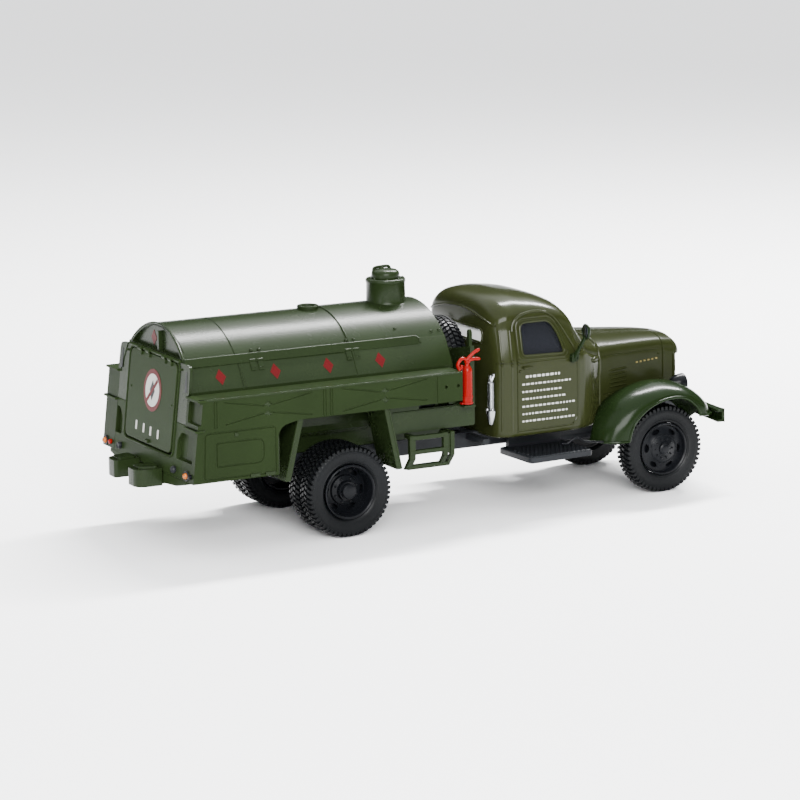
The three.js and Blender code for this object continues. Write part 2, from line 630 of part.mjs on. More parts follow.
function sideLocker() {
  const low = SKIRT_Z + GAP;
  const side = [[tailX(low), low], [LOCKER_FRONT, low], [LOCKER_FRONT, LEDGE_Z], [tailX(LEDGE_Z), LEDGE_Z]];
  const shell = prism(side, 'y', -BODY_OUT, -TANK_OUT - GAP);
  const hollow = box(-46, LOCKER_FRONT - 1.2, -BODY_OUT + 1, -TANK_OUT - 1, SKIRT_Z - 1, LEDGE_Z - 1);
  return shell.subtract(hollow);
}

addPair('side_locker', sideLocker(), BODY_GREEN);

function rearCabinet() {
  const top = SKIRT_Z;
  const side = [
    [tailX(CABINET_BOTTOM), CABINET_BOTTOM], [CABINET_FRONT, CABINET_BOTTOM], [CABINET_FRONT, 18.9],
    [-33.9, 20.2], [-32.8, 21.1], [-31.0, top], [tailX(top), top],
  ];
  const shell = prism(side, 'y', -BODY_OUT, BODY_OUT);
  const hollow = box(-46.9, CABINET_FRONT - 1.2, -BODY_OUT + 1.2, BODY_OUT - 1.2, CABINET_BOTTOM - 2, top - 1.2);
  const arches = box(CABINET_FRONT + 0.05, -30, -13.6, 13.6, 10, 30);
  const railSlot = box(-60, -30, -RAIL_Y - 0.3, RAIL_Y + 0.3, CABINET_BOTTOM - 1, RAIL_TOP + 0.3);
  return shell.subtract(hollow).subtract(arches).subtract(doorSeat).subtract(railSlot);
}

addPiece('rear_cabinet', rearCabinet(), BODY_GREEN());
addPiece('rear_door', rearDoor(), BODY_GREEN());

// Slanted plates before and behind the rear wheels: [top x, top z] to [foot x, foot z] along the plate.
function mudguard(topX, footX, footZ, inner) {
  const thick = 0.9;
  const top = SKIRT_Z - GAP;
  return prism([[topX, top], [topX + thick, top], [footX + thick, footZ], [footX, footZ]], 'y', -18.1, inner);
}

addPair('mudguard_rear', mudguard(-30.4, -32.9, 11.3, -9.2), BODY_GREEN);
addPair('mudguard_front', mudguard(-14.6, -12.4, 11.0, -11.2), BODY_GREEN);

// The low locker under the front of the tank, with the belly of the tank behind it.
function valveLocker() {
  const low = 16.4;
  const top = SKIRT_Z - 0.4;
  const front = prism([[-13.1, top], [BOX_FRONT, top], [BOX_FRONT, low], [-12.0, low]], 'y', -15.5, 15.5);
  const notch = box(-6.75, 10, -20, -12.6, 20.2, 22);
  const bay = box(CARRIER_REAR - GAP, 10, -CARRIER_OUT - GAP, CARRIER_OUT + GAP, low - 1, 22);
  const shelf = box(0.9, 3.1, -17.3, -15, 19.9, 20.2);
  const belly = prism(rounded(rectangle(-8.3, 15.8, 8.3, top), 2), 'x', CABINET_FRONT + GAP, -12.4);
  const rails = box(CABINET_FRONT + GAP, CARRIER_REAR - 1, -RAIL_Y, RAIL_Y, RAIL_TOP + GAP, low + 0.2);
  const shell = front.subtract(box(-10.5, BOX_FRONT - 1.2, -14.3, 14.3, low - 1, SKIRT_Z - 1.6));
  const open = shell.subtract(notch).subtract(notch.mirror([0, 1, 0])).subtract(bay);
  return open.add(belly).add(rails).add(shelf).add(shelf.mirror([0, 1, 0]));
}

addPiece('valve_locker', valveLocker(), BODY_GREEN());

function dome() {
  const tower = turned([
    [0, 34], [3.5, 34], [3.35, 36.4], [3.35, 39.4], [3.5, 39.6], [3.5, 40.1], [0, 40.1],
  ], 'z', [DOME_X, 0, 0], 24);
  return tower.subtract(prism(tankOutline(-GAP), 'x', -52, TANK_FRONT));
}

addPiece('dome_tower', dome(), BODY_GREEN());
const CAP = [[0, 40.2], [2.3, 40.2], [2.3, 40.7], [1.9, 41.2], [1.0, 41.5], [0.9, 41.9], [0, 41.9]];
addPiece('dome_cap', turned(CAP, 'z', [DOME_X, 0, 0], 24), BODY_GREEN());

function hatchCover() {
  const disc = turned([[0, 34], [1.8, 34], [1.8, 36.3], [1.5, 36.5], [0, 36.55]], 'z', [-19.45, 0, 0], 24);
  return disc.subtract(prism(tankOutline(-GAP), 'x', -52, TANK_FRONT));
}

addPiece('hatch_cover', hatchCover(), BODY_GREEN());

// ---- tail ----
function bumperBlock() {
  const plan = rounded([[-49.7, -6.6], [-49.7, -2.6], [-54.25, -2.6], [-54.25, -6.6]], [0.2, 0.2, 0.5, 2.2]);
  const block = prism(plan, 'z', 10.5, 13.5);
  const arm = box(-50.0, -47.8, -6.0, -3.0, 10.6, 12.6);
  return block.add(arm);
}

addPair('bumper_block', bumperBlock(), BODY_GREEN);

function towHook() {
  const stem = rod(0.5, 3.4, 'x', [-51.0, 0, 11.6], 10);
  const ring = new THREE.TorusGeometry(0.8, 0.3, 5, 12).rotateX(Math.PI / 2).translate(-51.7, 0, 11.6);
  return stem.add(toSolid(ring));
}

addPiece('tow_hook', towHook(), BLACK());

const TAIL_LAMP = [[0, 0.1], [0.65, 0.1], [0.65, 0.5], [0.4, 0.8], [0, 0.9]];
const tailLamp = turned(TAIL_LAMP, 'x', [0, 0, 0], 14).mirror([1, 0, 0]).translate([tailX(13.4), -16.4, 13.95]);
addPair('tail_lamp', tailLamp, AMBER);

// ---- ladders, extinguishers, spare wheel ----
function ladder() {
  let frame = box(-9.4, -1.1, -17.5, -16.7, 15.4, 16.2);
  for (const x of [-9.4, -1.9]) {
    frame = frame.add(box(x, x + 0.8, -17.5, -16.7, 10.4, 16.2));
    frame = frame.add(box(x, x + 0.8, -17.5, -15.6 - GAP, 15.4, 16.2));
    frame = frame.add(box(x, x + 0.8, -16.7, -14.6, 15.4, 16.2));
  }
  frame = frame.add(box(-9.4, -1.1, -17.5, -16.7, 13.1, 13.8));
  return frame.add(box(-9.4, -1.1, -17.5, -16.7, 10.1, 10.8));
}

addPair('ladder', ladder(), BODY_GREEN);

function extinguisher() {
  const base = [2.05, -16.5, 20.4];
  const profile = [[0, 0], [0.9, 0], [0.95, 0.3], [0.9, 0.6], [0.9, 5.8], [0.45, 6.6], [0.35, 7.4], [0, 7.4]];
  const flask = turned(profile, 'z', base, 12);
  const upper = bar([[1.95, -16.5, 27.4], [3.2, -16.5, 28.6], [4.6, -16.5, 29.5]], 0.3, 5, 3);
  const lower = bar([[1.95, -16.5, 27.2], [3.2, -16.5, 27.9], [4.6, -16.5, 27.9]], 0.3, 5, 3);
  const hose = bar([[2.1, -16.5, 27.5], [1.1, -16.5, 27.9], [0.3, -16.5, 27.2], [0.4, -16.5, 26.6]], 0.28, 5, 7);
  return flask.add(upper).add(lower).add(hose);
}

addPair('extinguisher', extinguisher(), RED);

addPiece('spare_tyre', tyre('x', SPARE), RUBBER());
const SPARE_RIM = [
  [0, 0.6], [1.2, 0.6], [2.4, 0.9], [3.7, 0.4], [4.15, 0.6], [4.2, 1.6], [RIM_R, 1.6], [RIM_R, -1.6], [4.2, -1.6],
  [4.0, -0.4], [2.3, -0.2], [0, -0.3],
];
addPiece('spare_rim', turned(SPARE_RIM, 'x', SPARE, 18), BLACK());

// A cradle on the frame holds the lower part of the spare tyre, and a thin wall spreads out on both sides of it.
function spareCarrier() {
  const [x, , z] = SPARE;
  const low = 16.4;
  const half = [[0, low], [0, 28.4], [-8.1, 28.4], [-CARRIER_OUT, 29.9], [-CARRIER_OUT, low]];
  const plate = prism(half, 'x', CARRIER_REAR, CARRIER_REAR + 0.8);
  const wall = plate.add(plate.mirror([0, 1, 0]));
  const cradle = box(CARRIER_REAR, CARRIER_FRONT, -9, 9, low, 27.3);
  const foot = box(CARRIER_REAR, CARRIER_FRONT, -RAIL_Y, RAIL_Y, RAIL_TOP + GAP, low);
  const pocket = turned([[0, -4], [TYRE_R + 0.25, -4], [TYRE_R + 0.25, 4], [0, 4]], 'x', SPARE, 28);
  const stay = box(x - 1.5, x + 1.2, -9.6, -8.8, 24.6, 27.3);
  const post = box(x + 0.5, x + 1.1, -10.3, -9.4, 24.6, 31.7).add(stay);
  const mouth = box(CARRIER_REAR - 1, CARRIER_FRONT + 1, -TYRE_R - 0.25, TYRE_R + 0.25, z, z + 4);
  const body = wall.add(cradle).add(foot).subtract(pocket).subtract(mouth);
  return body.add(post).add(post.mirror([0, 1, 0]));
}

addPiece('spare_carrier', spareCarrier(), BODY_GREEN());

export default group;
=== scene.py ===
"""Looks for the model tank truck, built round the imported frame. Lengths are millimetres up to the mesh."""
import math
import random

import bmesh
import bpy
from mathutils import Matrix, Vector
from mathutils.bvhtree import BVHTree


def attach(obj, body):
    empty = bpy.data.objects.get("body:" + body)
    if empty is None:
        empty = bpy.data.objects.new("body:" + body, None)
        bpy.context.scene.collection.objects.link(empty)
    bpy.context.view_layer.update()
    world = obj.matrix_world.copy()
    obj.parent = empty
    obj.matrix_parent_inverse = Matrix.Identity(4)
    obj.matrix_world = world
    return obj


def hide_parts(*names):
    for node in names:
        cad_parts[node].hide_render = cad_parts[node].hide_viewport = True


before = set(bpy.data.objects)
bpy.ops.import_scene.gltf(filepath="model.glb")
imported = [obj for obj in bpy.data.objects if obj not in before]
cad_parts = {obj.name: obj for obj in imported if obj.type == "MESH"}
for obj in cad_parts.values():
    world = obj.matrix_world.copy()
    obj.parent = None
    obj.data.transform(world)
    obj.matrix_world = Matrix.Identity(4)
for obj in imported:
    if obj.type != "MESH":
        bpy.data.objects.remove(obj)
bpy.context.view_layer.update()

MM = 0.001
TRUCK = "truck"
rng = random.Random(64)


def evenly(start, step, count):
    """Numbers a step apart."""
    return [start + step * k for k in range(count)]


def around(count, start=0.0):
    """Angles that share out a full turn."""
    return [start + 2 * math.pi * k / count for k in range(count)]


# ---- camera ----
EYE = (-262.05, -494.7, 130.0)
TOWARDS_EYE = (-0.46735, -0.86156, 0.19851)
ROLL_DEGREES = -0.622
SENSOR_WIDTH = 36
FOCAL_LENGTH = 149.43
FRAME_SHIFT = (-0.05435, 0.01225)


def camera():
    """A long lens from behind and to the right of the truck."""
    back = Vector(TOWARDS_EYE).normalized()
    right = (-back).cross(Vector((0, 0, 1))).normalized()
    up = right.cross(-back)
    roll = math.radians(ROLL_DEGREES)
    across = right * math.cos(roll) + up * math.sin(roll)
    upright = up * math.cos(roll) - right * math.sin(roll)
    data = bpy.data.cameras.new("camera")
    data.sensor_width = SENSOR_WIDTH
    data.lens = FOCAL_LENGTH
    data.shift_x, data.shift_y = FRAME_SHIFT
    data.clip_start = 0.01
    eye = bpy.data.objects.new("camera", data)
    place = Matrix((across, upright, back)).transposed().to_4x4()
    place.translation = Vector(EYE) * MM
    eye.matrix_world = place
    bpy.context.scene.collection.objects.link(eye)
    bpy.context.scene.camera = eye


camera()

# ---- geometry ----
DIRECTIONS = {
    "x": (Vector((1, 0, 0)), Vector((0, 1, 0)), Vector((0, 0, 1))),
    "back": (Vector((-1, 0, 0)), Vector((0, 1, 0)), Vector((0, 0, 1))),
    "right": (Vector((0, -1, 0)), Vector((1, 0, 0)), Vector((0, 0, 1))),
    "left": (Vector((0, 1, 0)), Vector((1, 0, 0)), Vector((0, 0, 1))),
    "z": (Vector((0, 0, 1)), Vector((1, 0, 0)), Vector((0, 1, 0))),
}
PLACES = {
    "x": lambda u, v, w: (w, u, v),
    "y": lambda u, v, w: (u, w, v),
    "z": lambda u, v, w: (u, v, w),
}


def double_grid(rows, columns):
    """The faces of two grids of points that follow each other in one list, facing opposite ways."""
    size = rows * columns
    faces = []
    for i in range(rows - 1):
        for j in range(columns - 1):
            a = i * columns + j
            faces.append((a, a + 1, a + 1 + columns, a + columns))
            faces.append((size + a, size + a + columns, size + a + 1 + columns, size + a + 1))
    return faces


class Shape:
    """Closed bodies gathered into one list of points and faces."""

    def __init__(self):
        self.verts = []
        self.faces = []

    def add(self, verts, faces):
        base = len(self.verts)
        self.verts += [tuple(v) for v in verts]
        self.faces += [tuple(base + i for i in face) for face in faces]
        return self

    def join(self, other):
        return self.add(other.verts, other.faces)

    def loft(self, rings, closed=False):
        """Joins rings of equal length in a row, which ends in a loop or in two flat caps."""
        count, n = len(rings), len(rings[0])
        faces = []
        for i in range(count if closed else count - 1):
            j = (i + 1) % count
            for k in range(n):
                m = (k + 1) % n
                faces.append((i * n + k, i * n + m, j * n + m, j * n + k))
        if not closed:
            faces.append(tuple(range(n)))
            faces.append(tuple(range(count * n - 1, (count - 1) * n - 1, -1)))
        return self.add([p for ring in rings for p in ring], faces)

    def prism(self, outline, axis, low, high):
        """A straight block with an outline, between two distances along an axis."""
        place = PLACES[axis]
        n = len(outline)
        verts = [place(u, v, w) for w in (low, high) for u, v in outline]
        faces = [tuple(range(n)), tuple(range(2 * n - 1, n - 1, -1))]
        faces += [(i, i + n, (i + 1) % n + n, (i + 1) % n) for i in range(n)]
        return self.add(verts, faces)

    def box(self, x0, x1, y0, y1, z0, z1):
        return self.prism([(x0, y0), (x1, y0), (x1, y1), (x0, y1)], "z", z0, z1)

    def turned(self, profile, axis, centre, segments=48):
        """Turns (radius, distance) points about an axis; a profile that ends where it starts makes a ring."""
        along, u, v = DIRECTIONS[axis]
        ring_like = profile[0] == profile[-1]
        points = profile[:-1] if ring_like else profile
        verts, rings = [], []
        for radius, distance in points:
            base = Vector(centre) + along * distance
            if radius < 1e-6:
                rings.append([len(verts)])
                verts.append(base)
                continue
            rings.append(list(range(len(verts), len(verts) + segments)))
            verts += [base + radius * (u * math.cos(a) + v * math.sin(a)) for a in around(segments)]
        faces = []
        for a, b in zip(rings, rings[1:] + ([rings[0]] if ring_like else [])):
            for k in range(segments):
                m = (k + 1) % segments
                corners = [a[k % len(a)], a[m % len(a)], b[m % len(b)], b[k % len(b)]]
                corners = [c for i, c in enumerate(corners) if c not in corners[:i]]
                if len(corners) > 2:
                    faces.append(tuple(corners))
        return self.add(verts, faces)

    def tube(self, path, radius, sides=8, closed=False, squash=1.0):
        """Sweeps a round section along a path."""
        path = [Vector(p) for p in path]
        n = len(path)
        rings = []
        normal = None
        for i, point in enumerate(path):
            ahead = path[(i + 1) % n] if closed or i + 1 < n else point
            behind = path[i - 1] if closed or i > 0 else point
            tangent = (ahead - behind).normalized()
            if normal is None:
                normal = Vector((0, 0, 1)) if abs(tangent.z) < 0.9 else Vector((1, 0, 0))
            normal = (normal - tangent * normal.dot(tangent)).normalized()
            other = tangent.cross(normal)
            size = radius[i] if isinstance(radius, (list, tuple)) else radius
            rings.append([point + size * (normal * math.cos(a) + other * math.sin(a) * squash)
                          for a in around(sides)])
        return self.loft(rings, closed)

    def sheet(self, outer, inner):
        """A thin skin between two grids of points, closed along its edges."""
        rows, columns = len(outer), len(outer[0])
        size = rows * columns
        faces = double_grid(rows, columns)
        edge = list(range(columns))
        edge += [i * columns + columns - 1 for i in range(1, rows)]
        edge += [(rows - 1) * columns + j for j in range(columns - 2, -1, -1)]
        edge += [i * columns for i in range(rows - 2, 0, -1)]
        for a, b in zip(edge, edge[1:] + edge[:1]):
            faces.append((a, a + size, b + size, b))
        return self.add([p for row in outer + inner for p in row], faces)

    def shell(self, outer, inner, capped):
        """An upturned trough: cross-sections that open downwards, with walls at both ends if capped."""
        rows, n = len(outer), len(outer[0])
        size = rows * n
        faces = double_grid(rows, n)
        for i in range(rows - 1):
            for j in (0, n - 1):
                a = i * n + j
                faces.append((a, a + n, size + a + n, size + a))
        for i in (0, rows - 1):
            if capped:
                for j in range(n // 2):
                    m = n - 1 - j
                    if j + 1 < m - 1:
                        faces += [tuple(s + i * n + q for q in (j, j + 1, m - 1, m)) for s in (0, size)]
                    elif j + 1 == m - 1:
                        faces += [tuple(s + i * n + q for q in (j, j + 1, m)) for s in (0, size)]
                faces.append((i * n, size + i * n, size + i * n + n - 1, i * n + n - 1))
            else:
                for j in range(n - 1):
                    a = i * n + j
                    faces.append((a, a + 1, size + a + 1, size + a))
        return self.add([p for row in outer + inner for p in row], faces)

    def mirrored(self):
        """The same shape on the other side of the truck."""
        return Shape().add([(x, -y, z) for x, y, z in self.verts], [face[::-1] for face in self.faces])

    def both(self):
        """This shape and its mirror image together."""
        return self.join(self.mirrored())


def rounded(corners, radius, steps=5):
    """An outline with its corners rounded; a radius may be one number or one for each corner."""
    points = []
    count = len(corners)
    for i, corner in enumerate(corners):
        here = Vector(corner)
        before = Vector(corners[i - 1]) - here
        after = Vector(corners[(i + 1) % count]) - here
        wanted = radius[i] if isinstance(radius, (list, tuple)) else radius
        reach = min(wanted, before.length / 2.02, after.length / 2.02)
        if reach < 1e-4:
            points.append(tuple(here))
            continue
        start = here + before.normalized() * reach
        end = here + after.normalized() * reach
        for k in range(steps + 1):
            t = k / steps
            points.append(tuple(start * (1 - t) ** 2 + here * 2 * t * (1 - t) + end * t * t))
    return points


def rectangle(x0, y0, x1, y1):
    return [(x0, y0), (x1, y0), (x1, y1), (x0, y1)]


def spline(points, count):
    """A smooth curve through points, sampled evenly in its parameter."""
    points = [Vector(p) for p in points]
    spans = len(points) - 1
    samples = []
    for i in range(count + 1):
        place = spans * i / count
        k = min(int(place), spans - 1)
        t = place - k
        a, b, c, d = (points[max(0, min(spans, j))] for j in range(k - 1, k + 3))
        samples.append(0.5 * (2 * b + (c - a) * t + (2 * a - 5 * b + 4 * c - d) * t * t
                              + (3 * b - a - 3 * c + d) * t * t * t))
    return samples


def resampled(points, step, closed=False):
    """The same polyline cut into pieces no longer than a step."""
    points = [Vector(p) for p in points]
    result = []
    pairs = list(zip(points, points[1:] + ([points[0]] if closed else [])))
    for a, b in pairs:
        parts = max(1, math.ceil((b - a).length / step))
        result += [a + (b - a) * k / parts for k in range(parts)]
    return result if closed else result + [points[-1]]


def look_up(table, x):
    """Straight-line value of a table's second column at x."""
    if x <= table[0][0]:
        return table[0][1]
    for low, high in zip(table, table[1:]):
        if x <= high[0]:
            return low[1] + (high[1] - low[1]) * (x - low[0]) / (high[0] - low[0])
    return table[-1][1]


def as_mesh(name, shape):
    mesh = bpy.data.meshes.new(name)
    mesh.from_pydata([(x * MM, y * MM, z * MM) for x, y, z in shape.verts], [], shape.faces)
    work = bmesh.new()
    work.from_mesh(mesh)
    bmesh.ops.remove_doubles(work, verts=work.verts, dist=2e-7)
    bmesh.ops.recalc_face_normals(work, faces=work.faces)
    work.to_mesh(mesh)
    work.free()
    return mesh


def cut_away(thing, cutter):
    """Takes one shape out of an object's mesh."""
    tool = bpy.data.objects.new("cutter", as_mesh("cutter", cutter))
    bpy.context.scene.collection.objects.link(tool)
    step = thing.modifiers.new("cut", "BOOLEAN")
    step.operation = "DIFFERENCE"
    step.solver = "EXACT"
    step.use_self = True
    step.object = tool
    graph = bpy.context.evaluated_depsgraph_get()
    carved = bpy.data.meshes.new_from_object(thing.evaluated_get(graph))
    thing.modifiers.clear()
    old = thing.data
    thing.data = carved
    bpy.data.meshes.remove(old)
    bpy.data.objects.remove(tool)


def soften(thing, width, segments=2, angle=32):
    """Rounds an object's sharp edges."""
    edge = thing.modifiers.new("bevel", "BEVEL")
    edge.width = width * MM
    edge.segments = segments
    edge.limit_method = "ANGLE"
    edge.angle_limit = math.radians(angle)
    edge.harden_normals = True


def piece(name, shape, look, slot, body=TRUCK, replaces=(), bevel=0.0, segments=2, angle=32, cut=None):
    """Makes one visible piece from a shape."""
    thing = bpy.data.objects.new(name, as_mesh(name, shape))
    bpy.context.scene.collection.objects.link(thing)
    if cut:
        cut_away(thing, cut)
    thing.data.shade_smooth()
    thing.data.set_sharp_from_angle(angle=math.radians(angle))
    if bevel:
        soften(thing, bevel, segments, angle)
    thing.data.materials.clear()
    thing.data.materials.append(look)
    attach(thing, body)
    if replaces:
        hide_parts(*replaces)
    return thing


def pair(name, shape, look, slot, replaces="", **options):
    """Makes NAME_right from a shape on the truck's right, and its mirror image NAME_left."""
    for side, form in (("right", shape), ("left", shape.mirrored())):
        nodes = (f"{replaces}_{side}",) if replaces else ()
        piece(f"{name}_{side}", form, look, slot, replaces=nodes, **options)


# ---- materials ----
MOTTLE_SCALE = 120
GRAIN_DEPTH = 0.03
COAT_ROUGHNESS = 0.06


def material(name, colour, rough, grain_scale, metal=0.0, coat=0.0, mottle=0.12, grain=0.10,
             rough_spread=0.04, shine=0.08, settings=()):
    """A procedural finish: slow colour drift, uneven gloss and a fine surface grain."""
    look = bpy.data.materials.new(name)
    look.use_nodes = True
    look.diffuse_color = (*colour, 1)
    tree = look.node_tree
    shader = tree.nodes["Principled BSDF"]
    shader.inputs["Metallic"].default_value = metal
    shader.inputs["Coat Weight"].default_value = coat
    shader.inputs["Coat Roughness"].default_value = COAT_ROUGHNESS
    shader.inputs["Specular IOR Level"].default_value = shine
    for socket, value in settings:
        shader.inputs[socket].default_value = value
    place = tree.nodes.new("ShaderNodeTexCoord")

    def noise(scale, detail):
        node = tree.nodes.new("ShaderNodeTexNoise")
        node.inputs["Scale"].default_value = scale
        node.inputs["Detail"].default_value = detail
        tree.links.new(place.outputs["Object"], node.inputs["Vector"])
        return node.outputs["Fac"]

    ramp = tree.nodes.new("ShaderNodeValToRGB")
    for stop, place_on_ramp, factor in zip(ramp.color_ramp.elements, (0.3, 0.7), (1 - mottle, 1 + mottle)):
        stop.position = place_on_ramp
        stop.color = (*[min(1, c * factor) for c in colour], 1)
    tree.links.new(noise(MOTTLE_SCALE, 3), ramp.inputs["Fac"])
    tree.links.new(ramp.outputs["Color"], shader.inputs["Base Color"])
    spread = tree.nodes.new("ShaderNodeMapRange")
    spread.inputs["To Min"].default_value = max(0.02, rough - rough_spread)
    spread.inputs["To Max"].default_value = rough + rough_spread
    tree.links.new(noise(MOTTLE_SCALE * 3, 4), spread.inputs["Value"])
    tree.links.new(spread.outputs["Result"], shader.inputs["Roughness"])
    bump = tree.nodes.new("ShaderNodeBump")
    bump.inputs["Strength"].default_value = grain
    bump.inputs["Distance"].default_value = GRAIN_DEPTH * MM
    tree.links.new(noise(grain_scale, 2), bump.inputs["Height"])
    tree.links.new(bump.outputs["Normal"], shader.inputs["Normal"])
    return look


CAB_PAINT = material("cab_paint", (0.0125, 0.0152, 0.0046), 0.20, 900, coat=0.03, mottle=0.06, grain=0.12,
                     rough_spread=0.02)
# The hood gets the cab's green made darker and less glossy: painted shade that keeps its top faces dark.
HOOD_SHADED_PAINT = material("hood_shaded_paint", (0.0105, 0.0130, 0.0038), 0.26, 900, mottle=0.06, grain=0.12,
                      rough_spread=0.02, shine=0.035)
FENDER_PAINT = material("fender_paint", (0.0048, 0.0098, 0.0028), 0.20, 900, mottle=0.06, grain=0.12,
                        rough_spread=0.02, shine=0.07)
BODY_PAINT = material("body_paint", (0.0078, 0.0134, 0.0043), 0.27, 2600, mottle=0.08, grain=0.35,
                      rough_spread=0.015)
# The side lockers get the body green made a little lighter and less glossy: painted light in place of their
# sheen.
LOCKER_LIT_PAINT = material("locker_lit_paint", (0.0084, 0.0142, 0.0046), 0.30, 2600, mottle=0.08, grain=0.35,
                        rough_spread=0.02, shine=0.025)
# The rear faces get the body green made lighter and less glossy: painted light standing in for the backdrop's
# sheen on them.
TAIL_LIT_PAINT = material("tail_lit_paint", (0.0108, 0.0182, 0.0060), 0.34, 2600, mottle=0.08, grain=0.35,
                      rough_spread=0.02, shine=0.02)
BLACK = material("black_moulding", (0.009, 0.010, 0.0115), 0.34, 2200, mottle=0.2, grain=0.5)
WHEEL_BLACK = material("wheel_black", (0.0030, 0.0034, 0.0042), 0.28, 1500, mottle=0.15, grain=0.3)
RUBBER = material("tyre_rubber", (0.0028, 0.0032, 0.0036), 0.36, 3000, mottle=0.25, grain=0.8)
STEEL = material("bright_steel", (0.31, 0.32, 0.33), 0.26, 2500, metal=1.0, mottle=0.08, grain=0.3)
TRIM = material("dark_trim", (0.007, 0.007, 0.008), 0.6, 2500, mottle=0.2, grain=0.6)
RED = material("gloss_red", (0.15, 0.0012, 0.0008), 0.22, 1200, coat=0.03, mottle=0.08, grain=0.15)
AMBER = material("amber_lens", (0.30, 0.075, 0.006), 0.18, 2500, coat=0.3, grain=0.2)
WHITE_MARK = material("white_print", (0.34, 0.34, 0.32), 0.45, 4000, mottle=0.06, grain=0.3)
RED_MARK = material("red_print", (0.055, 0.0016, 0.0024), 0.40, 4000, mottle=0.08, grain=0.3)
GOLD_MARK = material("gold_print", (0.13, 0.105, 0.035), 0.35, 4000, metal=0.3, mottle=0.1, grain=0.3)
GLASS = material("dark_glass", (0.012, 0.013, 0.016), 0.05, 500, coat=0.6, mottle=0.2, grain=0.06,
                 rough_spread=0.03, settings=(("Transmission Weight", 0.35), ("IOR", 1.5)))
LENS = material("clear_lens", (0.72, 0.76, 0.80), 0.08, 1500, coat=0.5, mottle=0.05, grain=0.2,
                settings=(("Transmission Weight", 0.6), ("IOR", 1.45)))
# An opaque near-white pane: painted light standing in for the bright backdrop seen through the cab.
BRIGHT_BACKDROP_PANE = material("pane_painted_bright", (0.86, 0.87, 0.86), 0.3, 1500, mottle=0.04)
MIRROR = material("mirror_glass", (0.20, 0.22, 0.24), 0.12, 1500, metal=1.0, mottle=0.05, rough_spread=0.03)

# ---- wheels ----
TYRE_R = 7.75
FRONT_X, REAR_X = 42.25, -20.25
FRONT_Y, OUTER_Y, INNER_Y = -12.75, -14.55, -10.45
HOLE_START = math.radians(-5)
SPARE = (5.3, 0.0, 24.9)
LUGS, LUG_LEAN = 54, 0.3
LUG_FACES = [(0, 1, 3, 2), (4, 6, 7, 5), (0, 4, 5, 1), (2, 3, 7, 6), (0, 2, 6, 4), (1, 5, 7, 3)]


def tyre(axis, centre):
    """A bar-treaded tyre: a smooth carcass with four rows of staggered lugs."""
    shape = Shape()
    side = [(4.62, 1.25), (4.78, 1.58), (5.0, 1.70), (5.12, 1.82), (5.3, 1.74), (6.2, 1.85), (6.75, 1.84),
            (7.05, 1.74), (7.22, 1.55), (7.28, 0.8), (7.30, 0.0)]
    profile = [(r, -w) for r, w in side] + [(r, w) for r, w in reversed(side[:-1])]
    shape.turned(profile + profile[:1], axis, centre, 96)
    along, u, v = DIRECTIONS[axis]
    middle = Vector(centre)
    pitch = 2 * math.pi / LUGS

    def lug(turn, low, high, roots, tops):
        corners = []
        for near, radius in ((0.36, roots), (0.29, tops)):
            for w, r, shift in ((low, radius[0], 0), (high, radius[1], LUG_LEAN)):
                for sign in (-1, 1):
                    a = turn + shift * pitch + sign * near * pitch
                    corners.append(middle + along * w + r * (u * math.cos(a) + v * math.sin(a)))
        shape.add(corners, LUG_FACES)

    for k in range(LUGS):
        for sign in (-1, 1):
            turn = pitch * (k + sign * 0.25)
            lug(turn, sign * 0.12, sign * 0.86, (7.2, 7.2), (TYRE_R, TYRE_R))
            lug(turn + 0.5 * pitch, sign * 1.0, sign * 1.83, (7.2, 6.85), (TYRE_R, 7.52))
    return shape


def nuts(shape, axis, centre, radius, distance, count, size, height, start=0.0):
    """A ring of hexagonal nuts."""
    along, u, v = DIRECTIONS[axis]
    for turn in around(count, start):
        spot = Vector(centre) + along * distance + radius * (u * math.cos(turn) + v * math.sin(turn))
        profile = [(0, -0.15), (size, -0.15), (size, height * 0.7), (size * 0.7, height), (0, height)]
        shape.turned(profile, axis, spot, 6)


def hand_holes(axis, centre, radius, long, short, low, high):
    """Six oval holes through a disc, with the long way of each along the rim."""
    along, u, v = DIRECTIONS[axis]
    shape = Shape()
    for turn in around(6, HOLE_START):
        out = u * math.cos(turn) + v * math.sin(turn)
        across = -u * math.sin(turn) + v * math.cos(turn)
        rings = []
        for distance in (low, high):
            ring = []
            for a in around(20):
                spot = Vector(centre) + along * distance + out * (radius + short * math.sin(a))
                ring.append(spot + across * long * math.cos(a))
            rings.append(ring)
        shape.loft(rings)
    return shape


def front_rim(axis, centre):
    """A single rim with a domed hub: its disc, the holes through it, and its hub and nuts."""
    disc = [(0, 1.72), (1.15, 1.72), (1.25, 1.66), (2.25, 1.52), (2.4, 1.40), (3.7, 0.98), (4.05, 0.95),
            (4.18, 1.30), (4.28, 1.66), (4.45, 1.78), (4.60, 1.72), (4.60, 1.45), (4.45, 1.2), (4.5, -1.45),
            (4.2, -1.45), (4.1, 0.35), (2.2, 0.95), (1.9, 0.2), (0, 0.2)]
    body = Shape().turned(disc, axis, centre, 64)
    holes = hand_holes(axis, centre, 3.25, 0.78, 0.42, -0.6, 2.6)
    detail = Shape()
    hub = [(0, 1.6), (1.12, 1.6), (1.12, 2.05), (0.98, 2.2), (0.55, 2.32), (0, 2.36)]
    detail.turned(hub, axis, centre, 40)
    nuts(detail, axis, centre, 1.72, 1.60, 10, 0.17, 0.24)
    nuts(detail, axis, centre, 0.78, 2.24, 6, 0.10, 0.14)
    detail.turned([(2.32, 1.40), (2.46, 1.52), (2.60, 1.40), (2.46, 1.28), (2.32, 1.40)], axis, centre, 64)
    detail.turned([(0, 0.0), (4.14, 0.0), (4.17, -1.2), (0, -1.2)], axis, centre, 48)
    return body, holes, detail


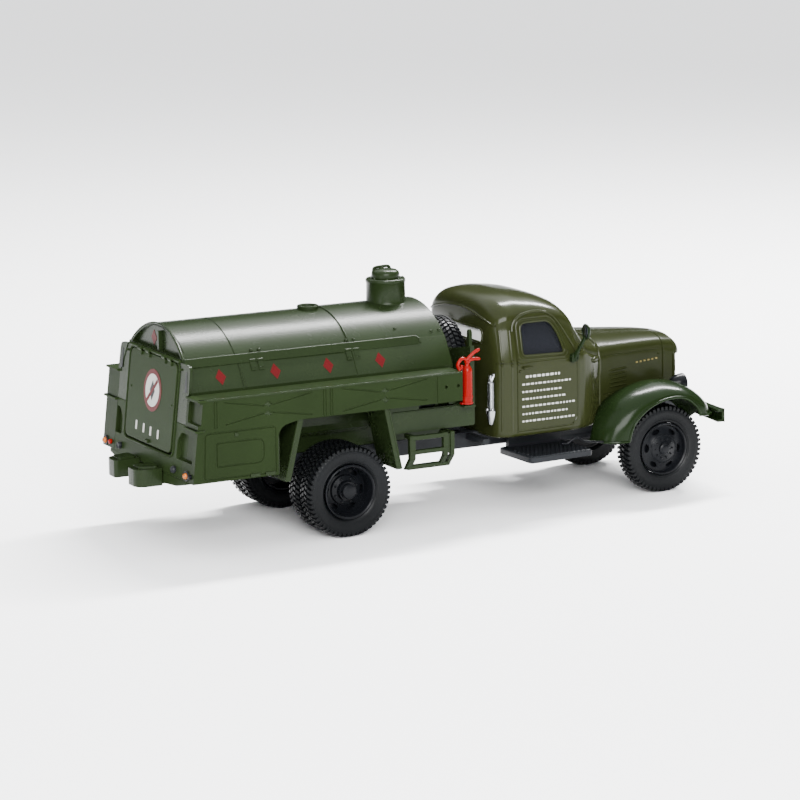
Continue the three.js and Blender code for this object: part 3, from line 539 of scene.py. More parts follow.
def rear_rim(axis, centre):
    """A deep dual rim: its disc, the holes through it, and its hub, nuts and inner drum."""
    disc = [(0, 0.9), (1.55, 0.9), (1.7, 0.15), (2.45, -0.1), (2.6, -0.55), (3.9, -0.95), (4.02, -0.7),
            (4.08, 1.45), (4.2, 1.78), (4.4, 1.93), (4.60, 1.86), (4.60, 1.5), (4.48, 1.2), (4.48, -5.6),
            (4.2, -5.6), (4.05, -1.6), (2.3, -1.4), (2.1, -3.3), (1.2, -3.3), (1.2, -0.4), (0, -0.4)]
    body = Shape().turned(disc, axis, centre, 64)
    holes = hand_holes(axis, centre, 3.25, 0.86, 0.46, -2.2, 0.6)
    detail = Shape()
    hub = [(0, 0.8), (1.28, 0.8), (1.28, 1.45), (1.15, 1.62), (0.7, 1.72), (0, 1.75)]
    detail.turned(hub, axis, centre, 40)
    nuts(detail, axis, centre, 2.05, 0.05, 8, 0.20, 0.28, start=math.pi / 8)
    nuts(detail, axis, centre, 1.42, 0.88, 8, 0.08, 0.12)
    detail.turned([(3.98, 0.4), (4.08, 0.55), (4.16, 0.4), (4.08, 0.25), (3.98, 0.4)], axis, centre, 64)
    detail.turned([(1.9, -1.9), (4.11, -1.9), (4.13, -2.9), (1.9, -2.9), (1.9, -1.9)], axis, centre, 48)
    return body, holes, detail


def rim_pieces(name, parts, node, body):
    disc, holes, detail = parts
    piece(f"{name}_disc", disc, WHEEL_BLACK, "black", body, (node,), bevel=0.05, cut=holes)
    piece(f"{name}_hub", detail, WHEEL_BLACK, "black", body, bevel=0.03)


for side, axis, sign in (("right", "right", 1), ("left", "left", -1)):
    front_at = (FRONT_X, sign * FRONT_Y, TYRE_R)
    outer_at = (REAR_X, sign * OUTER_Y, TYRE_R)
    inner_at = (REAR_X, sign * INNER_Y, TYRE_R)
    for name, at, body in (
        ("front_tyre", front_at, "front_wheels"),
        ("rear_tyre_outer", outer_at, "rear_wheels"),
        ("rear_tyre_inner", inner_at, "rear_wheels"),
    ):
        piece(f"{name}_{side}_treaded", tyre(axis, at), RUBBER, "rubber", body, (f"{name}_{side}",),
              bevel=0.05, segments=1)
    rim_pieces(f"front_rim_{side}", front_rim(axis, front_at), f"front_rim_{side}", "front_wheels")
    rim_pieces(f"rear_rim_{side}", rear_rim(axis, outer_at), f"rear_rim_{side}", "rear_wheels")

piece("spare_tyre_treaded", tyre("x", SPARE), RUBBER, "rubber", replaces=("spare_tyre",), bevel=0.05,
      segments=1)
rim_pieces("spare_rim", front_rim("x", (SPARE[0] - 0.4, 0, SPARE[2])), "spare_rim", TRUCK)

# ---- cab ----
# Stations along the cab: x, half width, shoulder height, shoulder half width, roof height.
CAB = [
    (9.55, 11.3, 30.6, 9.6, 33.9), (9.75, 11.95, 30.9, 10.4, 34.6), (10.1, 12.55, 31.2, 11.1, 35.2),
    (10.6, 12.95, 31.45, 11.55, 35.75), (11.3, 13.22, 31.75, 11.9, 36.2), (12.2, 13.5, 32.0, 12.2, 36.5),
    (13.4, 13.5, 32.05, 12.25, 36.7), (15.0, 13.5, 32.1, 12.3, 36.8), (17.0, 13.5, 32.1, 12.25, 36.65),
    (19.0, 13.5, 32.0, 12.2, 36.4), (20.8, 13.5, 31.8, 12.1, 36.0), (22.5, 13.5, 31.4, 12.0, 35.4),
    (23.6, 13.45, 31.0, 11.9, 34.85), (24.6, 13.4, 30.4, 11.8, 34.0), (25.3, 13.35, 29.7, 11.7, 33.15),
    (25.8, 13.3, 28.9, 11.6, 32.2), (26.4, 13.15, 28.1, 11.5, 31.1), (27.0, 13.0, 27.3, 11.4, 30.0),
    (27.6, 12.75, 26.6, 11.3, 29.1), (28.2, 12.5, 25.9, 11.2, 28.4), (29.4, 11.85, 25.35, 10.9, 28.0),
    (30.6, 11.0, 24.9, 10.5, 27.75), (31.9, 10.2, 24.6, 10.1, 27.5),
]
HOOD = [
    (31.95, 10.15, 24.5, 10.0, 27.4), (34.5, 9.6, 24.6, 9.5, 27.3), (38.5, 8.6, 24.4, 8.5, 27.05),
    (43.0, 7.5, 24.2, 7.4, 26.75), (46.75, 6.6, 24.1, 6.5, 26.4), (49.4, 6.15, 23.6, 6.0, 26.0),
]
CAB_FLOOR = 12.8
HOOD_BOTTOM = 15.2
BELT_Z = 25.8
CROWN_STEPS = 18


def blended(stations, count):
    """Stations spaced evenly along a body, on smooth curves through the given ones."""
    rows = []
    low, high = stations[0][0], stations[-1][0]
    for k in range(count + 1):
        x = low + (high - low) * k / count
        i = max(0, min(len(stations) - 2, sum(1 for s in stations if s[0] <= x) - 1))
        a, b = stations[max(0, i - 1)], stations[i]
        c, d = stations[i + 1], stations[min(len(stations) - 1, i + 2)]
        t = (x - b[0]) / (c[0] - b[0])
        row = [x]
        for q in range(1, 5):
            slope_b = (c[q] - a[q]) / max(1e-6, c[0] - a[0]) * (c[0] - b[0])
            slope_c = (d[q] - b[q]) / max(1e-6, d[0] - b[0]) * (c[0] - b[0])
            row.append((2 * t ** 3 - 3 * t * t + 1) * b[q] + (t ** 3 - 2 * t * t + t) * slope_b
                       + (3 * t * t - 2 * t ** 3) * c[q] + (t ** 3 - t * t) * slope_c)
        rows.append(row)
    return rows


def cross_section(station, inset, bottom):
    """Upright sides with a tucked sill, a lean from the belt to the shoulder, and a crowned top."""
    x, half, shoulder, shoulder_half, top = station
    belt = min(BELT_Z, shoulder - 0.6)
    side = [(half - 0.55, bottom), (half - 0.28, bottom + 0.12), (half - 0.10, bottom + 0.35),
            (half, bottom + 0.8)]
    side += [(half, bottom + 0.8 + (belt - bottom - 0.8) * k / 10) for k in range(1, 11)]
    side += [(half + (shoulder_half - half) * (k / 7) ** 1.15, belt + (shoulder - belt) * k / 7)
             for k in range(1, 8)]
    side = [(y - inset, z) for y, z in side]
    for k in range(1, CROWN_STEPS + 1):
        turn = math.pi / 2 * k / CROWN_STEPS
        reach = max(0.0, math.cos(turn)) ** 0.7
        rise = math.sin(turn) ** 0.75
        side.append(((shoulder_half - inset) * reach, shoulder + (top - inset - shoulder) * rise))
    side[-1] = (0.0, side[-1][1])
    return [(x, -y, z) for y, z in side] + [(x, y, z) for y, z in reversed(side[:-1])]


def body_shell(stations, wall, bottom, count, capped):
    """A thin shell through the stations, open below."""
    outer = blended(stations, count)
    middle = (stations[0][0] + stations[-1][0]) / 2
    half = (stations[-1][0] - stations[0][0]) / 2
    inner = [[middle + (row[0] - middle) * (half - (wall if capped else 0)) / half, *row[1:]]
             for row in outer]
    return Shape().shell([cross_section(row, 0, bottom) for row in outer],
                         [cross_section(row, wall, bottom) for row in inner], capped)


CAB_SHELL = body_shell(CAB, 0.6, CAB_FLOOR, 84, True)
CAB_TREE = BVHTree.FromPolygons(CAB_SHELL.verts, CAB_SHELL.faces)
HOOD_SHELL = body_shell(HOOD, 0.6, HOOD_BOTTOM, 48, False)
HOOD_TREE = BVHTree.FromPolygons(HOOD_SHELL.verts, HOOD_SHELL.faces)


# Each of these finds where a line from outside first meets a surface. The number after "else" is a stand-in
# for a line that misses it.
def on_side(tree, x, z, out=0.0):
    """The point on the right-hand side at x and z."""
    hit = tree.ray_cast(Vector((x, -40, z)), Vector((0, 1, 0)))[0]
    return Vector((x, (hit.y if hit else -10) - out, z))


def on_front(tree, y, z, out=0.0):
    """The point on the front at y and z."""
    hit = tree.ray_cast(Vector((80, y, z)), Vector((-1, 0, 0)))[0]
    return Vector(((hit.x if hit else 28) + out, y, z))


def on_top(tree, x, y, out=0.0):
    """The point on the top at x and y."""
    hit = tree.ray_cast(Vector((x, y, 60)), Vector((0, 0, -1)))[0]
    return Vector((x, y, (hit.z if hit else 27) + out))


def on_rear(tree, y, z, out=0.0):
    """The point on the rear at y and z."""
    hit = tree.ray_cast(Vector((-80, y, z)), Vector((1, 0, 0)))[0]
    return Vector(((hit.x if hit else 9.6) - out, y, z))


GLASS_EDGE = rounded([(14.4, 26.75), (22.9, 26.55), (21.75, 30.2), (20.3, 32.35), (14.4, 32.35)],
                     [0.9, 0.9, 2.0, 1.6, 1.3], 8)
SCREEN_HALF = rounded([(0.4, 29.2), (9.5, 28.9), (9.1, 31.4), (7.6, 32.6), (0.4, 33.0)],
                      [0.4, 0.8, 0.9, 1.2, 0.5], 6)
SCREEN_HALVES = (SCREEN_HALF, [(-y, z) for y, z in reversed(SCREEN_HALF)])
REAR_LIGHT = rounded(rectangle(-8.2, 28.7, 8.2, 31.1), 1.1, 8)
DOOR_EDGE = [(13.3, 31.4), (13.3, 26.0), (13.35, 14.6), (13.5, 14.05), (14.0, 13.85), (23.4, 13.95),
             (24.5, 14.3), (25.15, 15.2), (25.3, 17.0), (25.3, 22.0), (25.15, 26.2)]
GUTTER = [(12.85, 31.0), (13.0, 32.0), (13.6, 32.95), (14.7, 33.6), (16.4, 33.95), (18.3, 34.0), (20.0, 33.6),
          (21.3, 32.8), (22.5, 31.4), (23.5, 29.7), (24.4, 28.1), (25.0, 26.9), (25.4, 26.0)]


def side_path(tree, outline, out=0.0, closed=False, step=0.35):
    """An x, z outline laid on a surface's right-hand side."""
    return [on_side(tree, p.x, p.y, out) for p in resampled(outline, step, closed)]


def hoop_over(tree, x, heights, widths):
    """A line up the right-hand side of a surface at x, over its top and down the left."""
    rise = [on_side(tree, x, z) for z in heights]
    return rise + [on_top(tree, x, y) for y in widths] + [Vector((p.x, -p.y, p.z)) for p in reversed(rise)]


def cab():
    cutter = Shape()
    cutter.prism(GLASS_EDGE, "y", -20, 20)
    for half in SCREEN_HALVES:
        cutter.prism(half, "x", 22.8, 33)
    cutter.prism(REAR_LIGHT, "x", 5, 12)
    grooves = Shape()
    grooves.tube(side_path(CAB_TREE, spline(DOOR_EDGE, 90)), 0.16, 6)
    grooves.tube(side_path(CAB_TREE, [(12.3, 25.75), (9.9, 25.75)], step=0.2), 0.12, 6)
    cutter.join(grooves.both())
    piece("cab_body", CAB_SHELL, CAB_PAINT, "cab_green", replaces=("cab_shell",), cut=cutter, angle=28)

    trim = Shape()
    frame_line = rounded([(13.75, 26.15), (23.55, 25.95), (22.35, 30.4), (20.75, 33.05), (13.75, 33.05)],
                         [1.1, 1.1, 2.4, 2.0, 1.7], 8)
    trim.tube(side_path(CAB_TREE, GLASS_EDGE, 0.02, True), 0.22, 8, closed=True)
    trim.tube(side_path(CAB_TREE, frame_line, -0.05, True), 0.20, 8, closed=True)
    trim.tube(side_path(CAB_TREE, spline(GUTTER, 80), 0.05), 0.24, 8)
    for x in (10.7, 12.35):
        trim.tube(side_path(CAB_TREE, [(x, 13.9), (x, 25.3)], -0.16, step=0.5), 0.24, 8)
        trim.tube(side_path(CAB_TREE, [(x, 26.1), (x + 0.12, 31.2)], -0.16, step=0.5), 0.24, 8)
    trim.tube(side_path(CAB_TREE, [(13.9, 25.5), (23.8, 25.5)], -0.06, step=0.5), 0.14, 8)
    for x, z in ((10.7, 25.45), (10.7, 26.05), (12.35, 25.4), (12.4, 26.05), (13.6, 25.5), (13.6, 26.0),
                 (13.9, 24.2)):
        spot = on_side(CAB_TREE, x, z)
        trim.turned([(0, -0.2), (0.28, -0.2), (0.28, 0.06), (0.18, 0.2), (0, 0.24)], "right", spot, 14)
    rings = []
    for k in range(13):
        t = k / 12
        x, size = 28.9 + 2.6 * t, 0.55 * math.sqrt(max(0.0, 1 - (2 * t - 1) ** 2)) + 0.02
        spot = on_side(CAB_TREE, min(x, 31.5), 24.35)
        rings.append([(x, spot.y - size * 0.8 * math.cos(a), spot.z + size * math.sin(a))
                      for a in around(14)])
    trim.loft(rings)
    handle = [(14.5, -13.4, 24.75), (14.5, -13.95, 24.75), (14.8, -14.1, 24.78), (16.1, -14.1, 24.85)]
    trim.tube(spline(handle, 14), [0.22] * 5 + [0.2] * 6 + [0.17] * 4, 8)
    trim.both()
    trim.tube(hoop_over(CAB_TREE, 31.5, evenly(14.6, 0.5, 20), evenly(-9.9, 0.45, 45)), 0.26, 8)
    for half in SCREEN_HALVES:
        line = [on_front(CAB_TREE, p.x, p.y, 0.02) for p in resampled(half, 0.35, True)]
        trim.tube(line, 0.2, 8, closed=True)
    rear_line = [on_rear(CAB_TREE, p.x, p.y) for p in resampled(REAR_LIGHT, 0.4, True)]
    trim.tube(rear_line, 0.22, 8, closed=True)
    rail = [on_rear(CAB_TREE, y, 34.05 - 0.016 * y * y, 0.02) for y in evenly(-11.4, 0.6, 39)]
    trim.tube(rail, 0.2, 8)
    piece("cab_beading", trim, CAB_PAINT, "cab_green", angle=40)

    gap = 0.62
    inside = [(x, half - gap, shoulder, top_half - gap, roof - gap)
              for x, half, shoulder, top_half, roof in CAB]
    pane = body_shell(inside, 0.35, CAB_FLOOR, 60, True)
    pane = Shape().add([(20.7 + (x - 20.7) * 0.945, y, z) for x, y, z in pane.verts], pane.faces)
    # Only the glass at window height is kept, from the back of the side windows forward.
    unseen = Shape().box(0, 40, -20, 20, 0, 26.0).box(0, 40, -20, 20, 33.4, 50)
    unseen.box(0, 12.6, -20, 20, 26.0, 33.4)
    piece("cab_windows", pane, GLASS, "window", replaces=("cab_glazing",), cut=unseen, angle=28)

    # The rear window is a near-white pane, painted light for the backdrop seen through the cab.
    rings = []
    for y in evenly(-8.55, 0.95, 19):
        low, high = on_rear(CAB_TREE, y, 28.4, -0.35), on_rear(CAB_TREE, y, 31.4, -0.35)
        rings.append([(low.x, y, 28.4), (low.x + 0.3, y, 28.4), (high.x + 0.3, y, 31.4), (high.x, y, 31.4)])
    piece("cab_rear_pane", Shape().loft(rings), BRIGHT_BACKDROP_PANE, "lens", bevel=0.04)


cab()


def hood():
    cutter = Shape()
    cutter.tube(hoop_over(HOOD_TREE, 46.75, evenly(16.0, 0.4, 20), evenly(-6.4, 0.4, 33)), 0.13, 6)
    cutter.tube([on_top(HOOD_TREE, x, 0) for x in evenly(32.6, 0.5, 28)], 0.11, 6)
    side = Shape().tube(side_path(HOOD_TREE, [(32.4, 17.6), (46.4, 18.6)]), 0.12, 6)
    cutter.join(side.both())
    piece("hood_panels", HOOD_SHELL, HOOD_SHADED_PAINT, "cab_green", replaces=("hood",), cut=cutter, angle=28)

    trim = Shape()
    rings = []
    for x, half, top, low in ((48.6, 6.05, 25.95, 22.4), (49.6, 5.95, 25.9, 22.5), (50.4, 5.6, 25.55, 22.6),
                              (51.0, 5.0, 25.1, 22.7), (51.5, 4.1, 24.5, 22.8), (51.8, 2.9, 23.9, 22.9)):
        rings.append([(x, half * math.cos(turn), low + (top - low) * math.sin(turn) ** 0.8)
                      for turn in [math.pi * k / 24 for k in range(25)]])
    trim.loft(rings)
    louvres = Shape()
    for z in evenly(18.85, 0.72, 5):
        path = side_path(HOOD_TREE, [(33.9, z - 0.02), (38.1, z + 0.02)], 0.02, step=0.6)
        louvres.tube(path, [0.08] + [0.2] * (len(path) - 2) + [0.08], 8)
    louvres.tube(side_path(HOOD_TREE, [(32.4, 24.45), (46.4, 24.1)], -0.04, step=0.6), 0.12, 8)
    louvres.tube(side_path(HOOD_TREE, [(47.0, 18.7), (47.0, 24.2)], 0.0, step=0.5), 0.16, 8)
    for x, z in ((33.2, 17.2), (33.8, 17.6), (45.8, 23.2)):
        louvres.turned([(0, -0.2), (0.22, -0.2), (0.22, 0.1), (0.12, 0.2), (0, 0.22)], "right",
                       on_side(HOOD_TREE, x, z), 12)
    trim.join(louvres.both())
    crest = [on_top(HOOD_TREE, x, 0, 0.03) for x in evenly(33.0, 0.8, 20)]
    trim.tube([p + Vector((0, 0.3, 0)) for p in crest], 0.10, 6)
    surround = [(6.15, 15.4), (6.2, 18.0), (6.2, 21.0), (6.1, 22.6), (5.6, 24.0)]
    frame_line = [(49.45, y, z) for y, z in surround] + [(49.45, -y, z) for y, z in reversed(surround)]
    trim.tube(frame_line, 0.28, 8)
    piece("hood_nose_and_louvres", trim, HOOD_SHADED_PAINT, "cab_green", angle=34, bevel=0.04)

    badge = Shape()
    for k in range(6):
        x0 = 40.3 + 0.95 * k
        path = side_path(HOOD_TREE, [(x0, 22.3 + 0.02 * k), (x0 + 0.45, 22.3 + 0.02 * k)], 0.0, step=0.3)
        badge.tube(path, 0.15, 8, squash=0.3)
    badge.both()
    piece("hood_gold_strips", badge, GOLD_MARK, "mark_gold")


hood()


def grille():
    shape = Shape()
    bottom, top, slats = 14.0, 22.6, 6
    pitch = (top - bottom) / slats
    for k in range(slats):
        narrow = 1 - 0.045 * (slats - 1 - k)
        front = [(49.5, -5.75), (50.3, -5.2), (50.8, -4.4), (51.2, -3.0), (51.4, -1.5), (51.45, 0)]
        curve = [(x, y * narrow) for x, y in front]
        curve += [(x, -y) for x, y in reversed(curve[:-1])]
        back = [(x - 1.5, y * 0.93) for x, y in reversed(curve)]
        z = bottom + pitch * k + 0.3
        shape.prism(curve + back, "z", z, z + 0.72)
    shape.box(47.9, 48.3, -5.4, 5.4, bottom - 0.2, top)
    shape.box(48.3, 51.2, -0.35, 0.35, bottom, top)
    for y in evenly(-4.8, 1.2, 9):
        shape.box(48.25, 48.7, y - 0.12, y + 0.12, bottom, top)
    piece("grille_slats", shape, BLACK, "black", replaces=("grille",), bevel=0.12)


grille()

# ---- front fenders, lamps and bumper ----
CROWN = [(28.2, 10.5), (29.3, 13.4), (31.5, 16.4), (34.8, 18.3), (38.3, 19.35), (41.6, 19.75), (45.2, 19.2),
         (48.3, 17.75), (50.8, 15.6), (52.1, 13.2)]
LIP = [(33.25, 10.5), (34.2, 13.3), (36.5, 15.6), (39.5, 17.0), (42.75, 17.4), (45.0, 17.0), (46.6, 15.9),
       (47.5, 14.8), (47.9, 13.6)]
FENDER_OUT = 17.5
CAB_NOSE_X = 31.9


def fender_grid(depth):
    """Points of a front fender's skin, a depth below its outer face, in rows from the hood to the lip."""
    rows = []
    for top, low in zip(spline(CROWN, 56), spline(LIP, 56)):
        top = top + (Vector((FRONT_X, TYRE_R)) - top).normalized() * depth
        wall = look_up(CAB if top.x < CAB_NOSE_X else HOOD, top.x)
        inner = wall + 0.05
        flat = max(inner + 0.4, 12)
        s = min(1.0, max(0.0, (top.x - 40) / 8))
        valley = 1.2 * s * s * (3 - 2 * s)
        row = []
        for k in range(8):
            t = k / 8
            y = inner + (flat - inner) * t
            fall = (1 - t) ** 1.6 * (valley + 0.26 * (flat - inner))
            row.append(Vector((top.x, -y, top.y - fall)))
        for k in range(15):
            turn = math.pi / 2 * k / 14
            drop = 1 - math.cos(turn)
            y = flat + (FENDER_OUT - depth - flat) * math.sin(turn)
            row.append(Vector((top.x + (low.x - top.x) * drop, -y, top.y + (low.y - top.y) * drop)))
        rows.append(row)
    return rows


LAMP = (48.1, -9.7, 18.1)


def fenders():
    skin = fender_grid(0)
    shape = Shape().sheet(skin, fender_grid(0.5))
    bay = Shape().turned([(0, -1.9), (1.1, -1.7), (1.75, -0.5), (1.75, 6), (0, 6)], "x", LAMP, 32)
    pair("front_fender_skin", shape, FENDER_PAINT, "fender_green", "front_fender", angle=40, cut=bay)
    lip = Shape().tube([row[-1] + Vector((0, 0.12, -0.05)) for row in skin], 0.30, 8)
    lip.tube([p + Vector((-0.05, 0, 0.05)) for p in skin[0]], 0.22, 8)
    lip.tube([p + Vector((0.02, 0, 0.1)) for p in skin[-1]], 0.22, 8)
    pair("front_fender_lip", lip, FENDER_PAINT, "fender_green", angle=40)

    bowl = [(0, -1.75), (0.7, -1.6), (1.25, -0.95), (1.55, -0.1), (1.66, 0.75), (1.66, 0.98), (1.5, 1.08),
            (1.34, 0.98), (1.34, 0.45), (0, 0.45)]
    pair("headlight_bowl", Shape().turned(bowl, "x", LAMP, 40), WHEEL_BLACK, "black", "headlight", angle=40)
    lens = [(0, 0.5), (1.3, 0.5), (1.3, 0.92), (1.0, 1.2), (0.5, 1.36), (0, 1.4)]
    pair("headlight_glass", Shape().turned(lens, "x", LAMP, 40), LENS, "lens", "headlight_lens", angle=40)
    ring = [(1.28, 0.95), (1.45, 1.12), (1.62, 0.98), (1.45, 0.85), (1.28, 0.95)]
    pair("headlight_ring", Shape().turned(ring, "x", LAMP, 40), STEEL, "steel", angle=40)


fenders()


def bumper_x(y):
    """The x of the bumper's bowed face."""
    return 54.25 - 1.15 * (y / 17) ** 2


def bumper():
    shape = Shape()

    def band(depth, low, high):
        front = [(bumper_x(17 * k / 16), 17 * k / 16) for k in range(-16, 17)]
        shape.prism(front + [(x - depth, y) for x, y in reversed(front)], "z", low, high)

    band(0.5, 11.9, 14.1)
    band(1.45, 11.9, 12.32)
    band(1.45, 13.68, 14.1)
    for y in (-15.4, -6.2, 6.2, 15.4):
        stud = [(0, -0.1), (0.32, -0.1), (0.32, 0.12), (0.2, 0.22), (0, 0.24)]
        shape.turned(stud, "x", (bumper_x(y), y, 13.0), 12)
    piece("front_bumper_channel", shape, FENDER_PAINT, "fender_green", replaces=("front_bumper",), bevel=0.12)


bumper()

# ---- tank body ----
TAIL_LOW_X, TANK_REAR, RAIL_Z, CABINET_BOTTOM = -49.6, -47.4, 31.5, 12.8
TANK_FRONT, TANK_OUT, BODY_OUT, LEDGE_Z = 0.7, 13.8, 18.6, 26.4
ARCH_R, TANK_TOP, RAIL_HALF = 14.8, 36.15, 10.9
LOCKER_FRONT, CABINET_FRONT = -0.1, -34.3
DOME_X, SEAM_X = -4.65, -38.05


def tail_x(z, out=0.0):
    """The x of the leaning tail at a height."""
    return TAIL_LOW_X + (TANK_REAR - TAIL_LOW_X) * (z - CABINET_BOTTOM) / (RAIL_Z - CABINET_BOTTOM) - out


def tail_slab(shape, outline, low, high):
    """A plate parallel to the tail: an outline in y and z between two distances out from it."""
    return shape.loft([[(tail_x(z, out), y, z) for y, z in outline] for out in (low, high)])


def arch_z(y, out=0.0):
    """The height of the tank's rounded top at y."""
    return TANK_TOP - ARCH_R + math.sqrt((ARCH_R + out) ** 2 - y * y)


def slant_y(z, out=0.0):
    """The y of the tank's slanted right-hand side at a height."""
    return -(11.15 + (TANK_OUT - 11.15) * (31.2 - z) / 4.4) - out


def tank_arch(x, out=0.0, start=-10.8, step=0.54):
    """A line over the tank's top at x."""
    return [(x, y, arch_z(y, out)) for y in evenly(start, step, 41)]


def tank_ring(x_of, out):
    """The outline round the tank, at the x that a function gives for each height."""
    ring = []
    for k in range(-30, 31):
        y = (RAIL_HALF + out * 0.8) * math.sin(math.pi / 2 * k / 30)
        ring.append((y, arch_z(y, out)))
    side = [(RAIL_HALF + 0.25 + out, RAIL_Z - 0.3), (TANK_OUT + out, LEDGE_Z + 0.4), (TANK_OUT + out, 21.7)]
    ring += side + [(-y, z) for y, z in reversed(side)]
    return [(x_of(z), y, z) for y, z in ring]


def tank():
    shape = Shape().loft([
        tank_ring(tail_x, 0.0), tank_ring(lambda z: -17.3, 0.0), tank_ring(lambda z: -17.2, 0.13),
        tank_ring(lambda z: TANK_FRONT - 0.2, 0.13), tank_ring(lambda z: TANK_FRONT, 0.0),
    ])
    cutter = Shape()
    cutter.prism(rectangle(-9.7, 15.0, 9.7, 31.2), "x", -60, -46.2)
    recess = [(9.7, 31.8)] + [(9.7 * math.cos(math.pi * k / 20),
                               31.8 + 3.85 * math.sin(math.pi * k / 20) ** 0.85)
                              for k in range(1, 20)] + [(-9.7, 31.8)]
    cutter.prism(recess, "x", -60, TANK_REAR + 0.85)
    cutter.tube(tank_arch(SEAM_X), 0.13, 6)
    cutter.tube([(SEAM_X, -11.0, 31.3), (SEAM_X, slant_y(26.6), 26.6)], 0.12, 6)
    piece("tank_moulding", shape, BODY_PAINT, "body_green", replaces=("tank_shell",), cut=cutter, bevel=0.1,
          angle=30)

    trim = Shape()
    rail = [(-10.7, 31.35), (-10.85, 31.78), (-11.2, 31.72), (-11.78, 30.5), (-11.5, 30.4)]
    trim.loft([[(x, y, z) for y, z in rail] for x in (-47.3, -5.2, -4.65)])
    edge = [(-47.3, -11.0, 31.68), (-4.9, -11.0, 31.68), (-4.35, -11.2, 31.3), (-4.2, -11.6, 30.6)]
    trim.tube(edge, 0.2, 10)
    for centre in (-35.4, -34.0, -17.9, -16.4):
        leaf = rectangle(centre - 0.5, 29.2, centre + 0.5, 30.6)
        trim.loft([[(x, slant_y(z, out), z) for x, z in leaf] for out in (-0.1, 0.2)])
        trim.tube([(x, slant_y(30.7, 0.12), 30.7) for x in (centre - 0.55, centre + 0.55)], 0.26, 12)
        for x in (centre - 0.24, centre + 0.24):
            spot = (x, slant_y(29.6, 0.2), 29.6)
            trim.turned([(0, -0.2), (0.15, -0.2), (0.15, 0.08), (0, 0.12)], "right", spot, 12)
    for x, y in ((-35.0, -10.3), (-33.6, -10.3), (-17.6, -10.3), (-16.2, -10.3), (-7.9, -9.3), (-1.5, -10.3),
                 (0.0, -10.2)):
        stud = [(0, -0.3), (0.3, -0.2), (0.3, 0.1), (0.2, 0.24), (0, 0.3)]
        trim.turned(stud, "z", (x, y, arch_z(y, 0.1)), 14)
    for x, z0, z1 in ((-37.75, 26.7, 30.0), (-17.0, 26.7, 28.9), (-16.6, 26.7, 28.9), (-1.3, 28.9, 31.2),
                      (-0.4, 28.9, 31.2)):
        trim.tube([(x, slant_y(z1, -0.02), z1), (x + 0.25, slant_y(z0, -0.02), z0)], 0.13, 6)
    trim.both()
    trim.tube([(tail_x(z) + 0.12, y, z) for _, y, z in tank_arch(0, -0.03, -10.9, 0.545)], 0.2, 8)
    hoop = [(y, arch_z(y, -0.1), arch_z(y, -0.45)) for y in evenly(-10.8, 0.54, 41)]
    trim.loft([[(tail_x(top), y, top), (TANK_REAR + 1.2, y, top), (TANK_REAR + 1.2, y, low),
                (tail_x(low), y, low)] for y, top, low in hoop])
    trim.tube(tank_arch(-17.22, 0.08, -10.9, 0.545), 0.12, 6)
    trim.box(TANK_REAR + 0.15, TANK_REAR + 1.1, -0.92, -0.28, 31.8, 35.0)
    # A black patch on each tail fin is painted shade standing for a slot.
    painted_slot_shade = Shape()
    for sign in (-1, 1):
        fin = rounded([(sign * 11.2, 31.35), (sign * 14.1, 31.1), (sign * 14.35, 26.5), (sign * 13.5, 26.4)],
                      [0.3, 0.9, 0.5, 0.2])
        tail_slab(trim, fin, -0.35, 0.12)
        hole = [(12.7, 26.9), (13.6, 26.8), (13.1, 30.2), (12.7, 30.3)]
        tail_slab(painted_slot_shade, rounded([(sign * y, z) for y, z in hole], 0.2), 0.08, 0.16)
    piece("tank_trim", trim, BODY_PAINT, "body_green", bevel=0.05, angle=34)
    piece("tail_painted_slot_shade", painted_slot_shade, BLACK, "black", angle=34)

    hatch = [(0, 36.2), (1.05, 36.2), (1.15, 36.3), (1.3, 36.72), (1.72, 36.78), (1.86, 36.6), (1.8, 36.0),
             (1.8, 35.0), (0, 35.0)]
    lid = Shape().turned(hatch, "z", (-19.45, 0, 0), 56)
    lid.turned([(0, 36.1), (0.3, 36.1), (0.3, 36.42), (0.2, 36.52), (0, 36.55)], "z", (-19.45, 0, 0), 20)
    piece("hatch_ring", lid, BODY_PAINT, "body_green", replaces=("hatch_cover",), bevel=0.05)

    tower = [(0, 34.5), (3.75, 34.5), (3.72, 35.6), (3.45, 35.95), (3.36, 36.3), (3.32, 39.4), (3.40, 39.5),
             (3.43, 39.75), (3.38, 39.98), (3.25, 40.08), (0, 40.1)]
    dome = Shape().turned(tower, "z", (DOME_X, 0, 0), 72)
    for turn in around(8, math.pi / 8):
        spot = (DOME_X + 2.9 * math.cos(turn), 2.9 * math.sin(turn), 40.05)
        dome.turned([(0, -0.1), (0.26, -0.1), (0.26, 0.16), (0.16, 0.28), (0, 0.3)], "z", spot, 12)
    piece("dome_body", dome, BODY_PAINT, "body_green", replaces=("dome_tower",), bevel=0.04, angle=40)
    cap = Shape().turned([(0, 40.08), (2.38, 40.08), (2.42, 40.25), (2.40, 40.95), (2.25, 41.3), (1.8, 41.55),
                          (0.9, 41.68), (0, 41.7)], "z", (DOME_X, 0, 0), 56)
    bar = [(-1.8, 40.9), (-1.7, 41.75), (-0.4, 41.95), (1.0, 41.9), (1.4, 41.3)]
    cap.tube(spline([(DOME_X + x, 0.9, z) for x, z in bar], 24), 0.26, 10)
    knob = [(0, 41.0), (0.45, 41.0), (0.45, 41.8), (0.3, 42.0), (0, 42.05)]
    cap.turned(knob, "z", (DOME_X - 0.3, 0.9, 0), 16)
    piece("dome_lid", cap, BODY_PAINT, "body_green", replaces=("dome_cap",), bevel=0.04, angle=40)


tank()

# ---- side lockers, rear cabinet and tail ----
FACE = -BODY_OUT


def engraved(points, size=0.13, closed=False):
    """A fine groove along an x, z line on the right-hand face."""
    return Shape().tube([(x + 0.39, FACE, z - 0.14) for x, z in points], size, 6, closed=closed)


